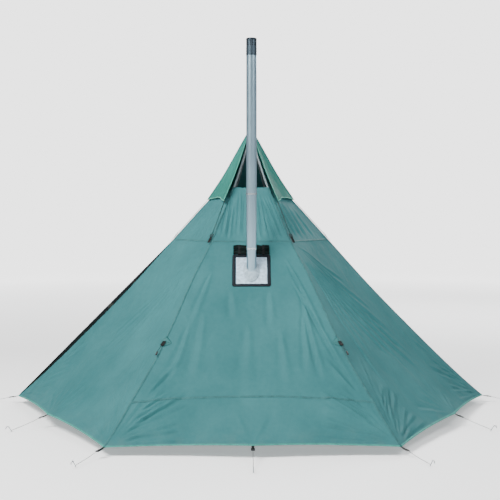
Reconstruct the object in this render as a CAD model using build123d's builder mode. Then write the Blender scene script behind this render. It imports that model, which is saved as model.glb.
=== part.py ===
from build123d import *

import os
from math import atan2, cos, degrees, hypot, radians, sin, tan

# Six-sided teepee tent: one centre pole, stove jack in the front panel, hood over the peak vent.
# Millimetres, +Z up. The origin is on the ground at the foot of the centre pole, and the front
# panel, with the stove jack, faces -Y. Ridges stand at 0, 60, 120 ... degrees about the pole.

# ---- driving dimensions ----
SIDES = 6
SIDE_ANGLE = 360 / SIDES
HALF_SIDE = SIDE_ANGLE / 2
COS_HALF = cos(radians(HALF_SIDE))

CORNER = (2000, 62)  # radius and height of a hem corner
KNEES = [(1545, 480), (1080, 950)]  # where the tension curve of a ridge is broken into flats
SHOULDER = (667, 1405)  # seam where the hood straps are sewn on
NECK = (455, 1640)
SILL = (270, 1850)  # lower edge of the open vent
PEAK = (12, 2318)
FABRIC = 4  # horizontal depth of a fabric wall
SEAM_GAP = 0.2
HEM_RISE = 38  # rise of the scalloped hem between two corners
FRONT_HEM_RISE = 26
FRONT_BAND_TOP = 350

HOOD_CORNER = (375, 1745)
HOOD_BEND = (238, 1963)
HOOD_PEAK = (18, 2345)
HOOD_DEPTH = 2.5
BINDING = 12

FRONT = 270
DOOR_SIDE = 150
DOOR_RIDGE = 180
HINGE_GAP = 2
TAPE_OUTER, TAPE_MEET, TAPE_INNER = 3.6, 13, 27  # distances from the door ridge
DOOR_THICK = 3

JACK_HEIGHT = 1184
JACK_SHEET = (240, 264)
JACK_BORDER = (296, 300)
JACK_LAP = 6  # how far the border covers the sheet
JACK_CLOTH = 2
CUFF = 15  # how far the pipe's cuff stands off the sheet
CUFF_REACH = 100

PIPE_R = 38
PIPE_STEP = 1.3  # each section sleeves over the one below
PIPE_WALL = 0.8
PIPE_LEVELS = (450, 1350, 1775, 2885)  # lower end, two ring heights, top
PIPE_OVERLAP = 40
RING_HEIGHT = 14
RING_THICK = 2.5
ARRESTOR_TOP = 2994
ARRESTOR_SKIRT = 24

POLE_R = 16
POLE_WALL = 1.5
POLE_TOP = 2262
POLE_SECTIONS = 4
SPIGOT = 60
FOOT_HEIGHT = 32

CORNER_REACH = 290  # hem to peg, measured on the ground
SIDE_REACH = 284
FRONT_REACH = 334
PULL_OUT = 58  # the side straps draw the hem out past the straight line between corners
PEG_HOLD = 12  # height at which a cord takes hold of its peg
PEG_R = 3.2
CORD_R = 1.6
WEBBING = (20, 2)
BUCKLE = (30, 28, 4)
BUCKLE_BAR = 4
BUCKLE_GAP = 1.2  # room for the buckle's bar to turn at the end of its webbing
BUCKLE_TAIL = 3  # height of the lifting tail
HEM_STRAP = 42  # webbing past the hem
HOOD_STRAP = 46
CORD_SPREAD = 3.5  # the two legs of a doubled cord stand this far each side of its line
CORD_GAP = 0.3

PEG_TIP = (-95, -160)  # from the cord's hold, in the peg's upright plane
PEG_HOOK = [(20, 34), (34, 30), (40, 16)]
PEG_BEND = 5

GUY_RIDGES = (60, 120, 240, 300)
GUY_HEIGHT = 690
PATCH = (62, 95)  # width on each side of the ridge, height
PATCH_THICK = 0.8
TAB = (12, 2)
TAB_RUN = (31, -22)  # from the ridge, outward and down
GUY_CORD = [(36, -22.5), (50, -30), (62, -42), (77, -48), (88, -60)]
GUY_END = (15, 3.4)  # length and radius of the moulded end

ROLL_WIDTH = 283
ROLL_PITCH = 44
ROLL_SIZE = (42, 15)
ROLL_GAP = 4
TIE_SPREAD = 95
TIE_WIDTH = 18
TIE_THICK = 1.5

TAPE_HALF_WIDTH = 16.5
TAPE_THICK = 2
GUSSET_THICK = 2
CUP_LEVELS = (2248, 2264.5, 2290, 2301)  # mouth, step, roof, top
CUP_RADII = (33, 11)  # outside at the mouth and at the top
PIN = (10, 26)  # radius and length of the pole tip's pin
PLUG = 40  # how far the tip goes down into the pole
FOOT_R = 24

SLIDER = (24, 8.4)
SLIDER_PLATE = 1.8
SLIDER_HEIGHT = 60  # up the slope, with the door closed at the hem
BRIDGE = (9.2, 3, 4.2)  # length, width and height of the arch that holds the pull
BRIDGE_WALL = 1.2
PULL_SIZE = (34.8, 11, 1.6)
PULL_EYE = (6.4, 4.6)
TOGGLE_HEIGHTS = (700, 1250)


def meridian(angle):
    """Upright plane through the pole: x outward at the angle, y up."""
    a = radians(angle)
    return Plane(origin=(0, 0, 0), x_dir=(cos(a), sin(a), 0), z_dir=(sin(a), -cos(a), 0))


def facing(angle):
    """Upright plane through the pole that faces outward at the angle: x along the side, y up."""
    a = radians(angle)
    return Plane(origin=(0, 0, 0), x_dir=(-sin(a), cos(a), 0), z_dir=(cos(a), sin(a), 0))


def in_space(angle, point):
    """A (radius, height) point at the angle, in x, y, z."""
    a = radians(angle)
    return (point[0] * cos(a), point[0] * sin(a), point[1])


def lay(angle, start, end):
    """Plane on the line from start to end at the angle: x along it, z off its upper side."""
    a = radians(angle)
    run, rise = end[0] - start[0], end[1] - start[1]
    length = hypot(run, rise)
    along = (run / length * cos(a), run / length * sin(a), rise / length)
    side = 1 if run > 0 else -1
    up = (-side * rise / length * cos(a), -side * rise / length * sin(a), side * run / length)
    return Plane(origin=in_space(angle, start), x_dir=along, z_dir=up)


def on_line(start, end, distance):
    """The (radius, height) point at the distance from start towards end."""
    share = distance / hypot(end[0] - start[0], end[1] - start[1])
    return (start[0] + share * (end[0] - start[0]), start[1] + share * (end[1] - start[1]))


def slope(angle, low, high):
    """Plane of one flat of a side, and the flat's length up the slope. The origin is in the
    middle of its lower edge, x runs along the side, y up the slope and z out of the tent."""
    start = (low[0] * COS_HALF, low[1])
    end = (high[0] * COS_HALF, high[1])
    a = radians(angle)
    run, rise = start[0] - end[0], end[1] - start[1]
    length = hypot(run, rise)
    out = (rise / length * cos(a), rise / length * sin(a), run / length)
    plane = Plane(origin=in_space(angle, start), x_dir=(-sin(a), cos(a), 0), z_dir=out)
    return plane, length


def wall_outline(ridge, spread, depth):
    """Outline of a wall cut by a meridian plane that makes the angle spread with the side."""
    scale = COS_HALF / cos(radians(spread))
    shift = depth / cos(radians(spread))
    outer = [(r * scale, z) for r, z in ridge]
    inner = [(r * scale - shift, z) for r, z in reversed(ridge)]
    return outer + inner


def side_wall(angle, ridge, depth=FABRIC):
    """One side's wall between its two ridges, bent at each point of the ridge line."""
    with BuildSketch(meridian(angle)) as outline:
        with BuildLine():
            Polyline(*wall_outline(ridge, 0, depth), close=True)
        make_face()
    extrude(outline.sketch, amount=ridge[0][0], both=True)


def trim_to_ridges(angle):
    """Cut the wall back to the two meridian planes of its ridges."""
    split(bisect_by=meridian(angle + HALF_SIDE).offset(SEAM_GAP / 2), keep=Keep.TOP)
    split(bisect_by=meridian(angle - HALF_SIDE).offset(-SEAM_GAP / 2), keep=Keep.BOTTOM)


def wall_solid(angle, ridge, depth=FABRIC):
    """The finished wall of one side, as a part of its own."""
    with BuildPart(mode=Mode.PRIVATE) as wall:
        side_wall(angle, ridge, depth)
        trim_to_ridges(angle)
    return wall.part


def cut_hem(angle, rise):
    """Scallop the lower edge between two corners."""
    half = CORNER[0] / 2
    with BuildSketch(facing(angle)) as below:
        with BuildLine():
            ThreePointArc((-half, CORNER[1]), (0, CORNER[1] + rise), (half, CORNER[1]))
            Polyline((half, CORNER[1]), (half, 0), (-half, 0), (-half, CORNER[1]))
        make_face()
    extrude(below.sketch, amount=CORNER[0], mode=Mode.SUBTRACT)


def finish(part, name):
    """Label one sub-part and write its file."""
    part.label = name
    export_step(part, f"parts/{name}.step")


os.makedirs("parts", exist_ok=True)
SKIRT = [CORNER, *KNEES, SHOULDER]

# ---- lower walls, hem to shoulder ----
for name, angle in (
    ("front_right_panel", 330),
    ("back_right_panel", 30),
    ("back_panel", 90),
    ("front_left_panel", 210),
):
    with BuildPart() as panel:
        side_wall(angle, SKIRT)
        trim_to_ridges(angle)
        cut_hem(angle, HEM_RISE)
    finish(panel.part, name)

# The front wall is two pieces, split at a level seam, with an opening for the stove jack.
band_radius = CORNER[0] + (KNEES[0][0] - CORNER[0]) * (FRONT_BAND_TOP - CORNER[1]) / (
    KNEES[0][1] - CORNER[1]
)
BAND_TOP = (band_radius, FRONT_BAND_TOP)
with BuildPart() as front_hem_band:
    side_wall(FRONT, [CORNER, BAND_TOP])
    trim_to_ridges(FRONT)
    cut_hem(FRONT, FRONT_HEM_RISE)
finish(front_hem_band.part, "front_hem_band")

jack_flat, jack_flat_length = slope(FRONT, KNEES[1], SHOULDER)
jack_share = (JACK_HEIGHT - KNEES[1][1]) / (SHOULDER[1] - KNEES[1][1])
jack_plane = Plane(
    origin=jack_flat.from_local_coords((0, jack_share * jack_flat_length, 0)),
    x_dir=jack_flat.x_dir,
    z_dir=jack_flat.z_dir,
)
PIPE_Y = jack_plane.origin.Y

with BuildPart() as front_panel:
    side_wall(FRONT, [BAND_TOP, *KNEES, SHOULDER])
    trim_to_ridges(FRONT)
    with BuildSketch(jack_plane):
        Rectangle(JACK_SHEET[0] + 1, JACK_SHEET[1] + 1)
    extrude(amount=4 * FABRIC, both=True, mode=Mode.SUBTRACT)
finish(front_panel.part, "front_panel")

# ---- door side: half is the door, half is fixed ----
door_plane, door_length = slope(DOOR_SIDE, CORNER, SHOULDER)
door_edge = hypot(door_length, (CORNER[0] - SHOULDER[0]) / 2)
edge_share = door_edge / door_length


def beside_ridge(offset, height):
    """Point of the door plane at the offset from the door ridge and the distance up the slope."""
    at_ridge = CORNER[0] / 2 - (CORNER[0] - SHOULDER[0]) / 2 * height / door_length
    return (at_ridge - offset * edge_share, height)


def ridge_strip(near, far, low, high):
    """Outline of a strip that runs beside the door ridge, on the door plane."""
    return [
        beside_ridge(near, low),
        beside_ridge(far, low),
        beside_ridge(far, high),
        beside_ridge(near, high),
    ]


door_top = door_length - 4
with BuildPart() as door_flap:
    with BuildSketch(door_plane):
        with BuildLine():
            Polyline(
                (HINGE_GAP, 0),
                beside_ridge(TAPE_INNER, 0),
                beside_ridge(TAPE_INNER, door_top),
                (HINGE_GAP, door_top),
                close=True,
            )
        make_face()
    extrude(amount=-DOOR_THICK)
    cut_hem(DOOR_SIDE, HEM_RISE)
finish(door_flap.part, "door_flap")

tape_low = 30
with BuildPart() as door_zip_tape:
    with BuildSketch(door_plane):
        with BuildLine():
            Polyline(*ridge_strip(TAPE_MEET + 1.4, TAPE_INNER - 0.1, tape_low, door_top), close=True)
        make_face()
    extrude(amount=-2)
finish(door_zip_tape.part, "door_zip_tape")

with BuildPart() as zip_tape:
    with BuildSketch(door_plane):
        with BuildLine():
            Polyline(*ridge_strip(TAPE_OUTER, TAPE_MEET - 0.6, tape_low, door_top), close=True)
        make_face()
    extrude(amount=-2)
finish(zip_tape.part, "zip_tape")

# The fixed half runs from its ridge, which is drawn in by the tension, to the straight hinge line,
# so each of its flats is twisted a little.
def straight_point(height):
    """Point of the straight line from hem corner to shoulder at the height."""
    share = (height - CORNER[1]) / (SHOULDER[1] - CORNER[1])
    return (CORNER[0] + share * (SHOULDER[0] - CORNER[0]), height)


with BuildPart() as back_left_panel:
    for low, high in zip(SKIRT, SKIRT[1:]):
        with BuildSketch(meridian(DOOR_SIDE - HALF_SIDE).offset(-SEAM_GAP / 2)):
            with BuildLine():
                Polyline(*wall_outline([low, high], HALF_SIDE, FABRIC), close=True)
            make_face()
        with BuildSketch(meridian(DOOR_SIDE).offset(HINGE_GAP)):
            with BuildLine():
                edge = [straight_point(low[1]), straight_point(high[1])]
                Polyline(*wall_outline(edge, 0, FABRIC), close=True)
            make_face()
        loft(ruled=True)
    cut_hem(DOOR_SIDE, HEM_RISE)
finish(back_left_panel.part, "back_left_panel")

# A crescent gusset fills the space between the drawn-in ridge and the straight zip.
ridge_inner = [(r - FABRIC / COS_HALF, z) for r, z in SKIRT]
with BuildPart() as zip_gusset:
    with BuildSketch(meridian(DOOR_RIDGE).offset(SEAM_GAP / 2)):
        with BuildLine():
            Polyline(CORNER, SHOULDER, *reversed(ridge_inner), close=True)
        make_face()
    extrude(amount=GUSSET_THICK)
finish(zip_gusset.part, "zip_gusset")

# ---- upper walls and peak ----
with BuildPart() as upper_panels:
    for side in range(SIDES):
        add(wall_solid(HALF_SIDE + side * SIDE_ANGLE, [SHOULDER, NECK, SILL]))
finish(upper_panels.part, "upper_panels")

PEAK_SIDES = (330, 30, 90, 150, 210)  # the front side is the open vent
with BuildPart() as peak_panels:
    for angle in PEAK_SIDES:
        add(wall_solid(angle, [SILL, PEAK]))
finish(peak_panels.part, "peak_panels")

# Seam tapes line the ridges from inside.
TAPE_INSET = FABRIC / COS_HALF + TAPE_HALF_WIDTH * tan(radians(HALF_SIDE)) + 0.5
TAPE_END = (62, 2227)
upper_ridge = [SHOULDER, NECK, SILL, TAPE_END]
whole_ridge = [on_line(CORNER, KNEES[0], 40), *KNEES, *upper_ridge]
with BuildPart() as seam_tapes:
    for corner in range(SIDES):
        angle = corner * SIDE_ANGLE
        line = upper_ridge if angle == DOOR_RIDGE else whole_ridge
        with BuildSketch(meridian(angle)):
            with BuildLine():
                Polyline(
                    *[(r - TAPE_INSET, z) for r, z in line],
                    *[(r - TAPE_INSET - TAPE_THICK, z) for r, z in reversed(line)],
                    close=True,
                )
            make_face()
        extrude(amount=TAPE_HALF_WIDTH, both=True)
finish(seam_tapes.part, "seam_tapes")

# The pole's tip sits in a moulded cup sewn into the peak.
cup_mouth, cup_step, cup_roof, cup_top = CUP_LEVELS
cup_bore = POLE_R + 0.5
cup_pin = PIN[0] + 0.4
with BuildPart() as peak_cup:
    with BuildSketch(Plane.XZ):
        with BuildLine():
            Polyline(
                (cup_bore, cup_mouth),
                (CUP_RADII[0], cup_mouth),
                (CUP_RADII[1], cup_top),
                (0, cup_top),
                (0, cup_roof),
                (cup_pin, cup_roof),
                (cup_pin, cup_step),
                (cup_bore, cup_step),
                close=True,
            )
        make_face()
    revolve(axis=Axis.Z)
finish(peak_cup.part, "peak_cup")

# ---- hood ----
HOOD_LINE = [HOOD_CORNER, HOOD_BEND, HOOD_PEAK]
hood_hem = on_line(HOOD_CORNER, HOOD_BEND, BINDING)
with BuildPart() as hood:
    for angle in PEAK_SIDES:
        add(wall_solid(angle, [hood_hem, HOOD_BEND, HOOD_PEAK], HOOD_DEPTH))
finish(hood.part, "hood")

with BuildPart() as hood_binding:
    for angle in PEAK_SIDES:
        add(wall_solid(angle, [HOOD_CORNER, hood_hem], HOOD_DEPTH))
finish(hood_binding.part, "hood_binding")


# ---- straps, ladder-lock buckles and cords ----
def strap(angle, start, end):
    """A length of webbing laid on the line from start to end."""
    length = hypot(end[0] - start[0], end[1] - start[1])
    with BuildSketch(lay(angle, start, end)) as band:
        with Locations((length / 2, 0)):
            Rectangle(length, WEBBING[0])
    extrude(band.sketch, amount=WEBBING[1])


def buckle(angle, start, end):
    """A ladder-lock at the start of the line: a frame with two windows, one for the webbing
    and one for the cord, and a lifting tail."""
    length, width, thick = BUCKLE
    window = (length - 3 * BUCKLE_BAR) / 2
    with BuildPart() as lock:
        with BuildSketch(lay(angle, start, end)):
            with Locations((length / 2, 0)):
                RectangleRounded(length, width, 3)
            with Locations(
                (BUCKLE_BAR + window / 2, 0), (length - BUCKLE_BAR - window / 2, 0)
            ):
                RectangleRounded(window, width - 2 * BUCKLE_BAR, 1.5, mode=Mode.SUBTRACT)
        extrude(amount=thick)
        with BuildSketch(lay(angle, start, end).offset(thick)):
            with Locations((length - BUCKLE_BAR / 2, 0)):
                Rectangle(BUCKLE_BAR, width / 2)
        extrude(amount=BUCKLE_TAIL)
    return lock.part


def taut_cord(angle, start, end, sideways, lift):
    """A taut cord from start to end, set beside the line and lifted off it."""
    line = lay(angle, start, end)
    length = hypot(end[0] - start[0], end[1] - start[1])
    first = line.from_local_coords((0, sideways, lift))
    with BuildSketch(Plane(origin=first, z_dir=line.x_dir)) as section:
        Circle(CORD_R)
    extrude(section.sketch, amount=length)


# Hood tie-downs: webbing sewn at the shoulder, a buckle, and a doubled cord to the hood's corner.
HOOD_STRAP_START = (SHOULDER[0] + 9, SHOULDER[1] + 2)
HOOD_STRAP_END = (HOOD_CORNER[0] + 3, HOOD_CORNER[1] - 6)
hood_line = (HOOD_STRAP_START, HOOD_STRAP_END)
for corner in range(SIDES):
    start = on_line(*hood_line, HOOD_STRAP + BUCKLE_GAP)
    lock = buckle(corner * SIDE_ANGLE, start, HOOD_STRAP_END)
    finish(lock, f"hood_buckle_{corner + 1}")

with BuildPart() as hood_cords:
    for corner in range(SIDES):
        for sideways in (-CORD_SPREAD, CORD_SPREAD):
            low = on_line(*hood_line, HOOD_STRAP + BUCKLE_GAP + BUCKLE[0] + CORD_GAP)
            taut_cord(corner * SIDE_ANGLE, low, HOOD_STRAP_END, sideways, BUCKLE[2] / 2)
finish(hood_cords.part, "hood_cords")


# Ground tie-downs: a hem strap, a buckle, a cord and a peg at every corner and mid-side.
def anchor(index):
    """Angle, strap start, pull point and peg point of one ground tie-down."""
    angle = index * HALF_SIDE
    apothem = CORNER[0] * COS_HALF
    if index % 2 == 0:
        pull = CORNER
        start = (CORNER[0] + 1.5, CORNER[1] - 1)
        peg = (CORNER[0] + CORNER_REACH, PEG_HOLD)
    else:
        front = angle == FRONT
        height = CORNER[1] + (FRONT_HEM_RISE if front else HEM_RISE)
        pull = (apothem + PULL_OUT, height)
        start = (apothem - 0.7 * (height - CORNER[1]), height - 3)
        peg = (pull[0] + (FRONT_REACH if front else SIDE_REACH), PEG_HOLD)
    return angle, start, pull, peg


ANCHORS = [anchor(index) for index in range(2 * SIDES)]

with BuildPart() as tie_straps:
    for angle, start, pull, peg in ANCHORS:
        strap(angle, start, on_line(pull, peg, HEM_STRAP))
    for corner in range(SIDES):
        strap(corner * SIDE_ANGLE, HOOD_STRAP_START, on_line(*hood_line, HOOD_STRAP))
finish(tie_straps.part, "tie_straps")

for number, (angle, start, pull, peg) in enumerate(ANCHORS, 1):
    lock = buckle(angle, on_line(pull, peg, HEM_STRAP + BUCKLE_GAP), peg)
    finish(lock, f"hem_buckle_{number}")

with BuildPart() as ground_cords:
    for angle, start, pull, peg in ANCHORS:
        low = on_line(pull, peg, HEM_STRAP + BUCKLE_GAP + BUCKLE[0] + CORD_GAP)
        taut_cord(angle, low, (peg[0] - PEG_R - 1.2, peg[1]), 0, BUCKLE[2] / 2)
finish(ground_cords.part, "ground_cords")

with BuildPart() as pegs:
    for angle, start, pull, peg in ANCHORS:
        route = [(peg[0] + dx, peg[1] + dz) for dx, dz in [PEG_TIP, *PEG_HOOK]]
        with BuildLine(meridian(angle)) as rod:
            FilletPolyline(*route, radius=PEG_BEND)
        with BuildSketch(Plane(origin=rod.line @ 0, z_dir=rod.line % 0)):
            Circle(PEG_R)
        sweep(path=rod.line)
finish(pegs.part, "pegs")

# ---- guy-out points on the front and back ridges ----
guy_share = (GUY_HEIGHT - KNEES[0][1]) / (KNEES[1][1] - KNEES[0][1])
GUY_POINT = (KNEES[0][0] + guy_share * (KNEES[1][0] - KNEES[0][0]), GUY_HEIGHT)
TAB_START = (GUY_POINT[0] + 2.5, GUY_POINT[1])
TAB_END = (TAB_START[0] + TAB_RUN[0], TAB_START[1] + TAB_RUN[1])
tab_length = hypot(*TAB_RUN)
with BuildPart() as guyout_patches:
    for ridge in GUY_RIDGES:
        for turn in (-1, 1):
            side = ridge + turn * HALF_SIDE
            flat, length = slope(side, *KNEES)
            middle = guy_share * length
            half = GUY_POINT[0] / 2 - 1
            lean = (KNEES[0][0] - KNEES[1][0]) / 2 / length * PATCH[1] / 2
            with BuildSketch(flat.offset(3.6 if side == DOOR_SIDE else 0.3)):
                with BuildLine():
                    Polyline(
                        (-turn * (half - lean), middle + PATCH[1] / 2),
                        (-turn * (half + lean), middle - PATCH[1] / 2),
                        (-turn * (half - PATCH[0]), middle - PATCH[1] / 6),
                        close=True,
                    )
                make_face()
            extrude(amount=PATCH_THICK)
        with BuildSketch(lay(ridge, TAB_START, TAB_END)):
            with Locations((tab_length / 2, 0)):
                Rectangle(tab_length, TAB[0])
        extrude(amount=TAB[1])
finish(guyout_patches.part, "guyout_patches")

# Each guy-out has a short cord with a moulded end. The route is in the ridge's upright plane.
with BuildPart() as guyout_cords:
    for ridge in GUY_RIDGES:
        route = [(GUY_POINT[0] + dx, GUY_POINT[1] + dz) for dx, dz in GUY_CORD]
        radii = []
        for before, point, after in zip(route, route[1:], route[2:]):
            first = Vector(point[0] - before[0], point[1] - before[1], 0)
            second = Vector(after[0] - point[0], after[1] - point[1], 0)
            turn = radians(first.get_angle(second))
            radii.append(0.45 * min(first.length, second.length) / tan(turn / 2))
        with BuildLine(meridian(ridge)) as path:
            FilletPolyline(*route, radius=radii)
        with BuildSketch(Plane(origin=path.line @ 0, z_dir=path.line % 0)):
            Circle(CORD_R)
        sweep(path=path.line)
        with BuildSketch(Plane(origin=path.line @ 1, z_dir=path.line % 1)):
            Circle(GUY_END[1])
        extrude(amount=GUY_END[0])
    print("guy-out cord radii", [round(radius, 1) for radius in radii])
finish(guyout_cords.part, "guyout_cords")

# ---- stove jack ----
collar_r = PIPE_R + 0.6
with BuildPart() as jack_sheet:
    with BuildSketch(jack_plane):
        Rectangle(*JACK_SHEET)
    extrude(amount=-JACK_CLOTH)
    with BuildSketch(Plane.XY.offset(JACK_HEIGHT - 100)):
        with Locations((0, PIPE_Y)):
            Circle(PIPE_R + 4)
    extrude(amount=200, mode=Mode.SUBTRACT)
finish(jack_sheet.part, "jack_sheet")

with BuildPart() as jack_border:
    with BuildSketch(jack_plane.offset(0.2)):
        Rectangle(*JACK_BORDER)
        Rectangle(JACK_SHEET[0] - 2 * JACK_LAP, JACK_SHEET[1] - 2 * JACK_LAP, mode=Mode.SUBTRACT)
    extrude(amount=JACK_CLOTH)
finish(jack_border.part, "jack_border")

# The cuff is cut along two planes parallel to the sheet.
with BuildPart() as jack_collar:
    with BuildSketch(Plane.XY.offset(JACK_HEIGHT - CUFF_REACH)):
        with Locations((0, PIPE_Y)):
            Circle(collar_r + JACK_CLOTH)
            Circle(collar_r, mode=Mode.SUBTRACT)
    extrude(amount=2 * CUFF_REACH)
    split(bisect_by=jack_plane.offset(0.2), keep=Keep.TOP)
    split(bisect_by=jack_plane.offset(CUFF), keep=Keep.BOTTOM)
finish(jack_collar.part, "jack_collar")

roll_low = JACK_BORDER[1] / 2 + ROLL_GAP
with BuildPart() as jack_flap:
    for fold in range(2):
        base = jack_plane.from_local_coords((-ROLL_WIDTH / 2, roll_low + fold * ROLL_PITCH, 0.5))
        roll_plane = Plane(origin=base, x_dir=jack_plane.y_dir, z_dir=jack_plane.x_dir)
        with BuildSketch(roll_plane):
            with Locations((ROLL_SIZE[0] / 2, ROLL_SIZE[1] / 2 + 0.2)):
                RectangleRounded(ROLL_SIZE[0], ROLL_SIZE[1], 6)
        extrude(amount=ROLL_WIDTH)
    with BuildSketch(jack_plane.offset(ROLL_SIZE[1] + 0.8)):
        with Locations(*[(x, roll_low + ROLL_PITCH) for x in (-TIE_SPREAD, TIE_SPREAD)]):
            Rectangle(TIE_WIDTH, 2 * ROLL_PITCH - 8)
    extrude(amount=TIE_THICK)
finish(jack_flap.part, "jack_flap")


# ---- flue pipe ----
def tube(low, high, radius, wall):
    """An upright tube on the flue's axis."""
    with BuildSketch(Plane.XY.offset(low)) as ring:
        with Locations((0, PIPE_Y)):
            Circle(radius)
            Circle(radius - wall, mode=Mode.SUBTRACT)
    extrude(ring.sketch, amount=high - low)


for step, name in enumerate(("pipe_lower", "pipe_middle", "pipe_upper")):
    top = PIPE_LEVELS[step + 1] + (PIPE_OVERLAP if step < 2 else 0)
    with BuildPart() as section:
        tube(PIPE_LEVELS[step], top, PIPE_R + step * PIPE_STEP, PIPE_WALL)
    finish(section.part, name)

with BuildPart() as pipe_rings:
    for step, level in enumerate(PIPE_LEVELS[1:3], 1):
        inner = PIPE_R + step * PIPE_STEP + 0.1
        tube(level + 1, level + 1 + RING_HEIGHT, inner + RING_THICK, RING_THICK)
finish(pipe_rings.part, "pipe_rings")

# ---- spark arrestor ----
pipe_top = PIPE_LEVELS[-1]
arrestor_r = PIPE_R + 2 * PIPE_STEP + 0.3 + PIPE_WALL
HOLES_ROUND = 14
HOLE_ROWS = 3
HOLE = 13
ROW_PITCH = 17
first_row = ARRESTOR_TOP - 18 - (HOLE_ROWS - 1) * ROW_PITCH
RIB_LEVELS = (pipe_top - 12, pipe_top + 8, pipe_top + 28)
with BuildPart() as arrestor_mesh:
    tube(pipe_top - ARRESTOR_SKIRT, ARRESTOR_TOP - 8, arrestor_r, PIPE_WALL)
    for level in RIB_LEVELS:
        tube(level, level + 5, arrestor_r + 1.2, PIPE_WALL + 1.2)
    for spoke in range(HOLES_ROUND):
        plane = facing(spoke * 360 / HOLES_ROUND)
        spoke_plane = Plane(origin=(0, PIPE_Y, 0), x_dir=plane.x_dir, z_dir=plane.z_dir)
        with BuildSketch(spoke_plane):
            with Locations(*[(0, first_row + row * ROW_PITCH) for row in range(HOLE_ROWS)]):
                Rectangle(HOLE / 2**0.5, HOLE / 2**0.5, rotation=45)
        extrude(amount=arrestor_r + 4, mode=Mode.SUBTRACT)
finish(arrestor_mesh.part, "arrestor_mesh")

CAP = (11, 9)  # height of the domed cap, radius of its shoulder
with BuildPart() as arrestor_cap:
    with BuildSketch(Plane.XY.offset(ARRESTOR_TOP - 7.9)):
        with Locations((0, PIPE_Y)):
            Circle(arrestor_r + 1)
    extrude(amount=CAP[0])
    fillet(arrestor_cap.edges().sort_by(Axis.Z)[-1], radius=CAP[1])
finish(arrestor_cap.part, "arrestor_cap")

# ---- centre pole ----
pole_bottom = 4
section_length = (POLE_TOP - pole_bottom) / POLE_SECTIONS
for number in range(POLE_SECTIONS):
    low = pole_bottom + number * section_length
    high = low + section_length - 0.2
    with BuildPart() as section:
        with BuildSketch(Plane.XY.offset(low)):
            Circle(POLE_R)
            Circle(POLE_R - POLE_WALL, mode=Mode.SUBTRACT)
        extrude(amount=high - low)
        if number < POLE_SECTIONS - 1:
            with BuildSketch(Plane.XY.offset(high - SPIGOT)):
                Circle(POLE_R - POLE_WALL)
                Circle(POLE_R - 2 * POLE_WALL, mode=Mode.SUBTRACT)
            extrude(amount=SPIGOT)
            with BuildSketch(Plane.XY.offset(high)):
                Circle(POLE_R - POLE_WALL - 0.1)
                Circle(POLE_R - 2 * POLE_WALL, mode=Mode.SUBTRACT)
            extrude(amount=SPIGOT)
    finish(section.part, f"pole_section_{number + 1}")

with BuildPart() as pole_foot:
    with BuildSketch(Plane.XY):
        Circle(FOOT_R)
    extrude(amount=FOOT_HEIGHT, taper=6)
    with BuildSketch(Plane.XY.offset(pole_bottom)):
        Circle(POLE_R + 0.1)
    extrude(amount=FOOT_HEIGHT, mode=Mode.SUBTRACT)
finish(pole_foot.part, "pole_foot")

with BuildPart() as pole_tip:
    with BuildSketch(Plane.XY.offset(POLE_TOP - PLUG)):
        Circle(POLE_R - POLE_WALL - 0.1)
    extrude(amount=PLUG)
    with BuildSketch(Plane.XY.offset(POLE_TOP)):
        Circle(PIN[0])
    extrude(amount=PIN[1])
finish(pole_tip.part, "pole_tip")

# ---- zip slider, its pull, and the toggles that hold the open door ----
slider_middle = (TAPE_OUTER + TAPE_MEET + 0.6) / 2
slider_spot = beside_ridge(slider_middle, SLIDER_HEIGHT)
zip_angle = degrees(atan2(door_length, -(CORNER[0] - SHOULDER[0]) / 2))
post_offset = TAPE_MEET + 0.25 - slider_middle
SLIDER_LEVELS = (-2.3 - SLIDER_PLATE, -2.3, 0.3, 0.3 + SLIDER_PLATE)


def slider_frame(level):
    """Plane at the level over the zip: x runs up the zip and y towards the door."""
    base = door_plane.offset(level)
    return Plane(
        origin=base.from_local_coords((*slider_spot, 0)),
        x_dir=door_plane.x_dir * cos(radians(zip_angle)) + door_plane.y_dir * sin(radians(zip_angle)),
        z_dir=door_plane.z_dir,
    )


with BuildPart() as zip_slider:
    for level in (SLIDER_LEVELS[0], SLIDER_LEVELS[2]):
        with BuildSketch(slider_frame(level)):
            RectangleRounded(*SLIDER, 2)
        extrude(amount=SLIDER_PLATE)
    with BuildSketch(slider_frame(SLIDER_LEVELS[0])):
        with Locations((0, post_offset)):
            Rectangle(10, 1.5)
    extrude(amount=SLIDER_LEVELS[3] - SLIDER_LEVELS[0])
    with BuildSketch(slider_frame(SLIDER_LEVELS[3])):
        Rectangle(*BRIDGE[:2])
    extrude(amount=BRIDGE[2])
    with BuildSketch(slider_frame(SLIDER_LEVELS[3])):
        Rectangle(BRIDGE[0] - 2 * BRIDGE_WALL, BRIDGE[1])
    extrude(amount=BRIDGE[2] - BRIDGE_WALL, mode=Mode.SUBTRACT)
finish(zip_slider.part, "zip_slider")

with BuildPart() as zip_pull:
    bar = PULL_SIZE[2] / 2
    with BuildSketch(slider_frame(SLIDER_LEVELS[3] + (BRIDGE[2] - BRIDGE_WALL) / 2 - bar)):
        with Locations((bar - PULL_SIZE[0] / 2, 0)):
            Rectangle(*PULL_SIZE[:2])
        with Locations((-bar - PULL_EYE[0] / 2, 0)):
            Rectangle(*PULL_EYE, mode=Mode.SUBTRACT)
    extrude(amount=PULL_SIZE[2])
finish(zip_pull.part, "zip_pull")

with BuildPart() as door_toggles:
    for height in TOGGLE_HEIGHTS:
        with BuildSketch(door_plane.offset(1.2)):
            with Locations((-52, height)):
                Rectangle(44, 12)
        extrude(amount=1.5)
        with BuildSketch(door_plane.offset(2.9)):
            with Locations((-40, height)):
                RectangleRounded(9, 34, 4)
        extrude(amount=6)
finish(door_toggles.part, "door_toggles")
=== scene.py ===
"""Looks for the six-sided teepee tent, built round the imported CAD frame.

Metres, +Z up, origin at the foot of the centre pole, the stove-jack panel facing -Y.
"""

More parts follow.
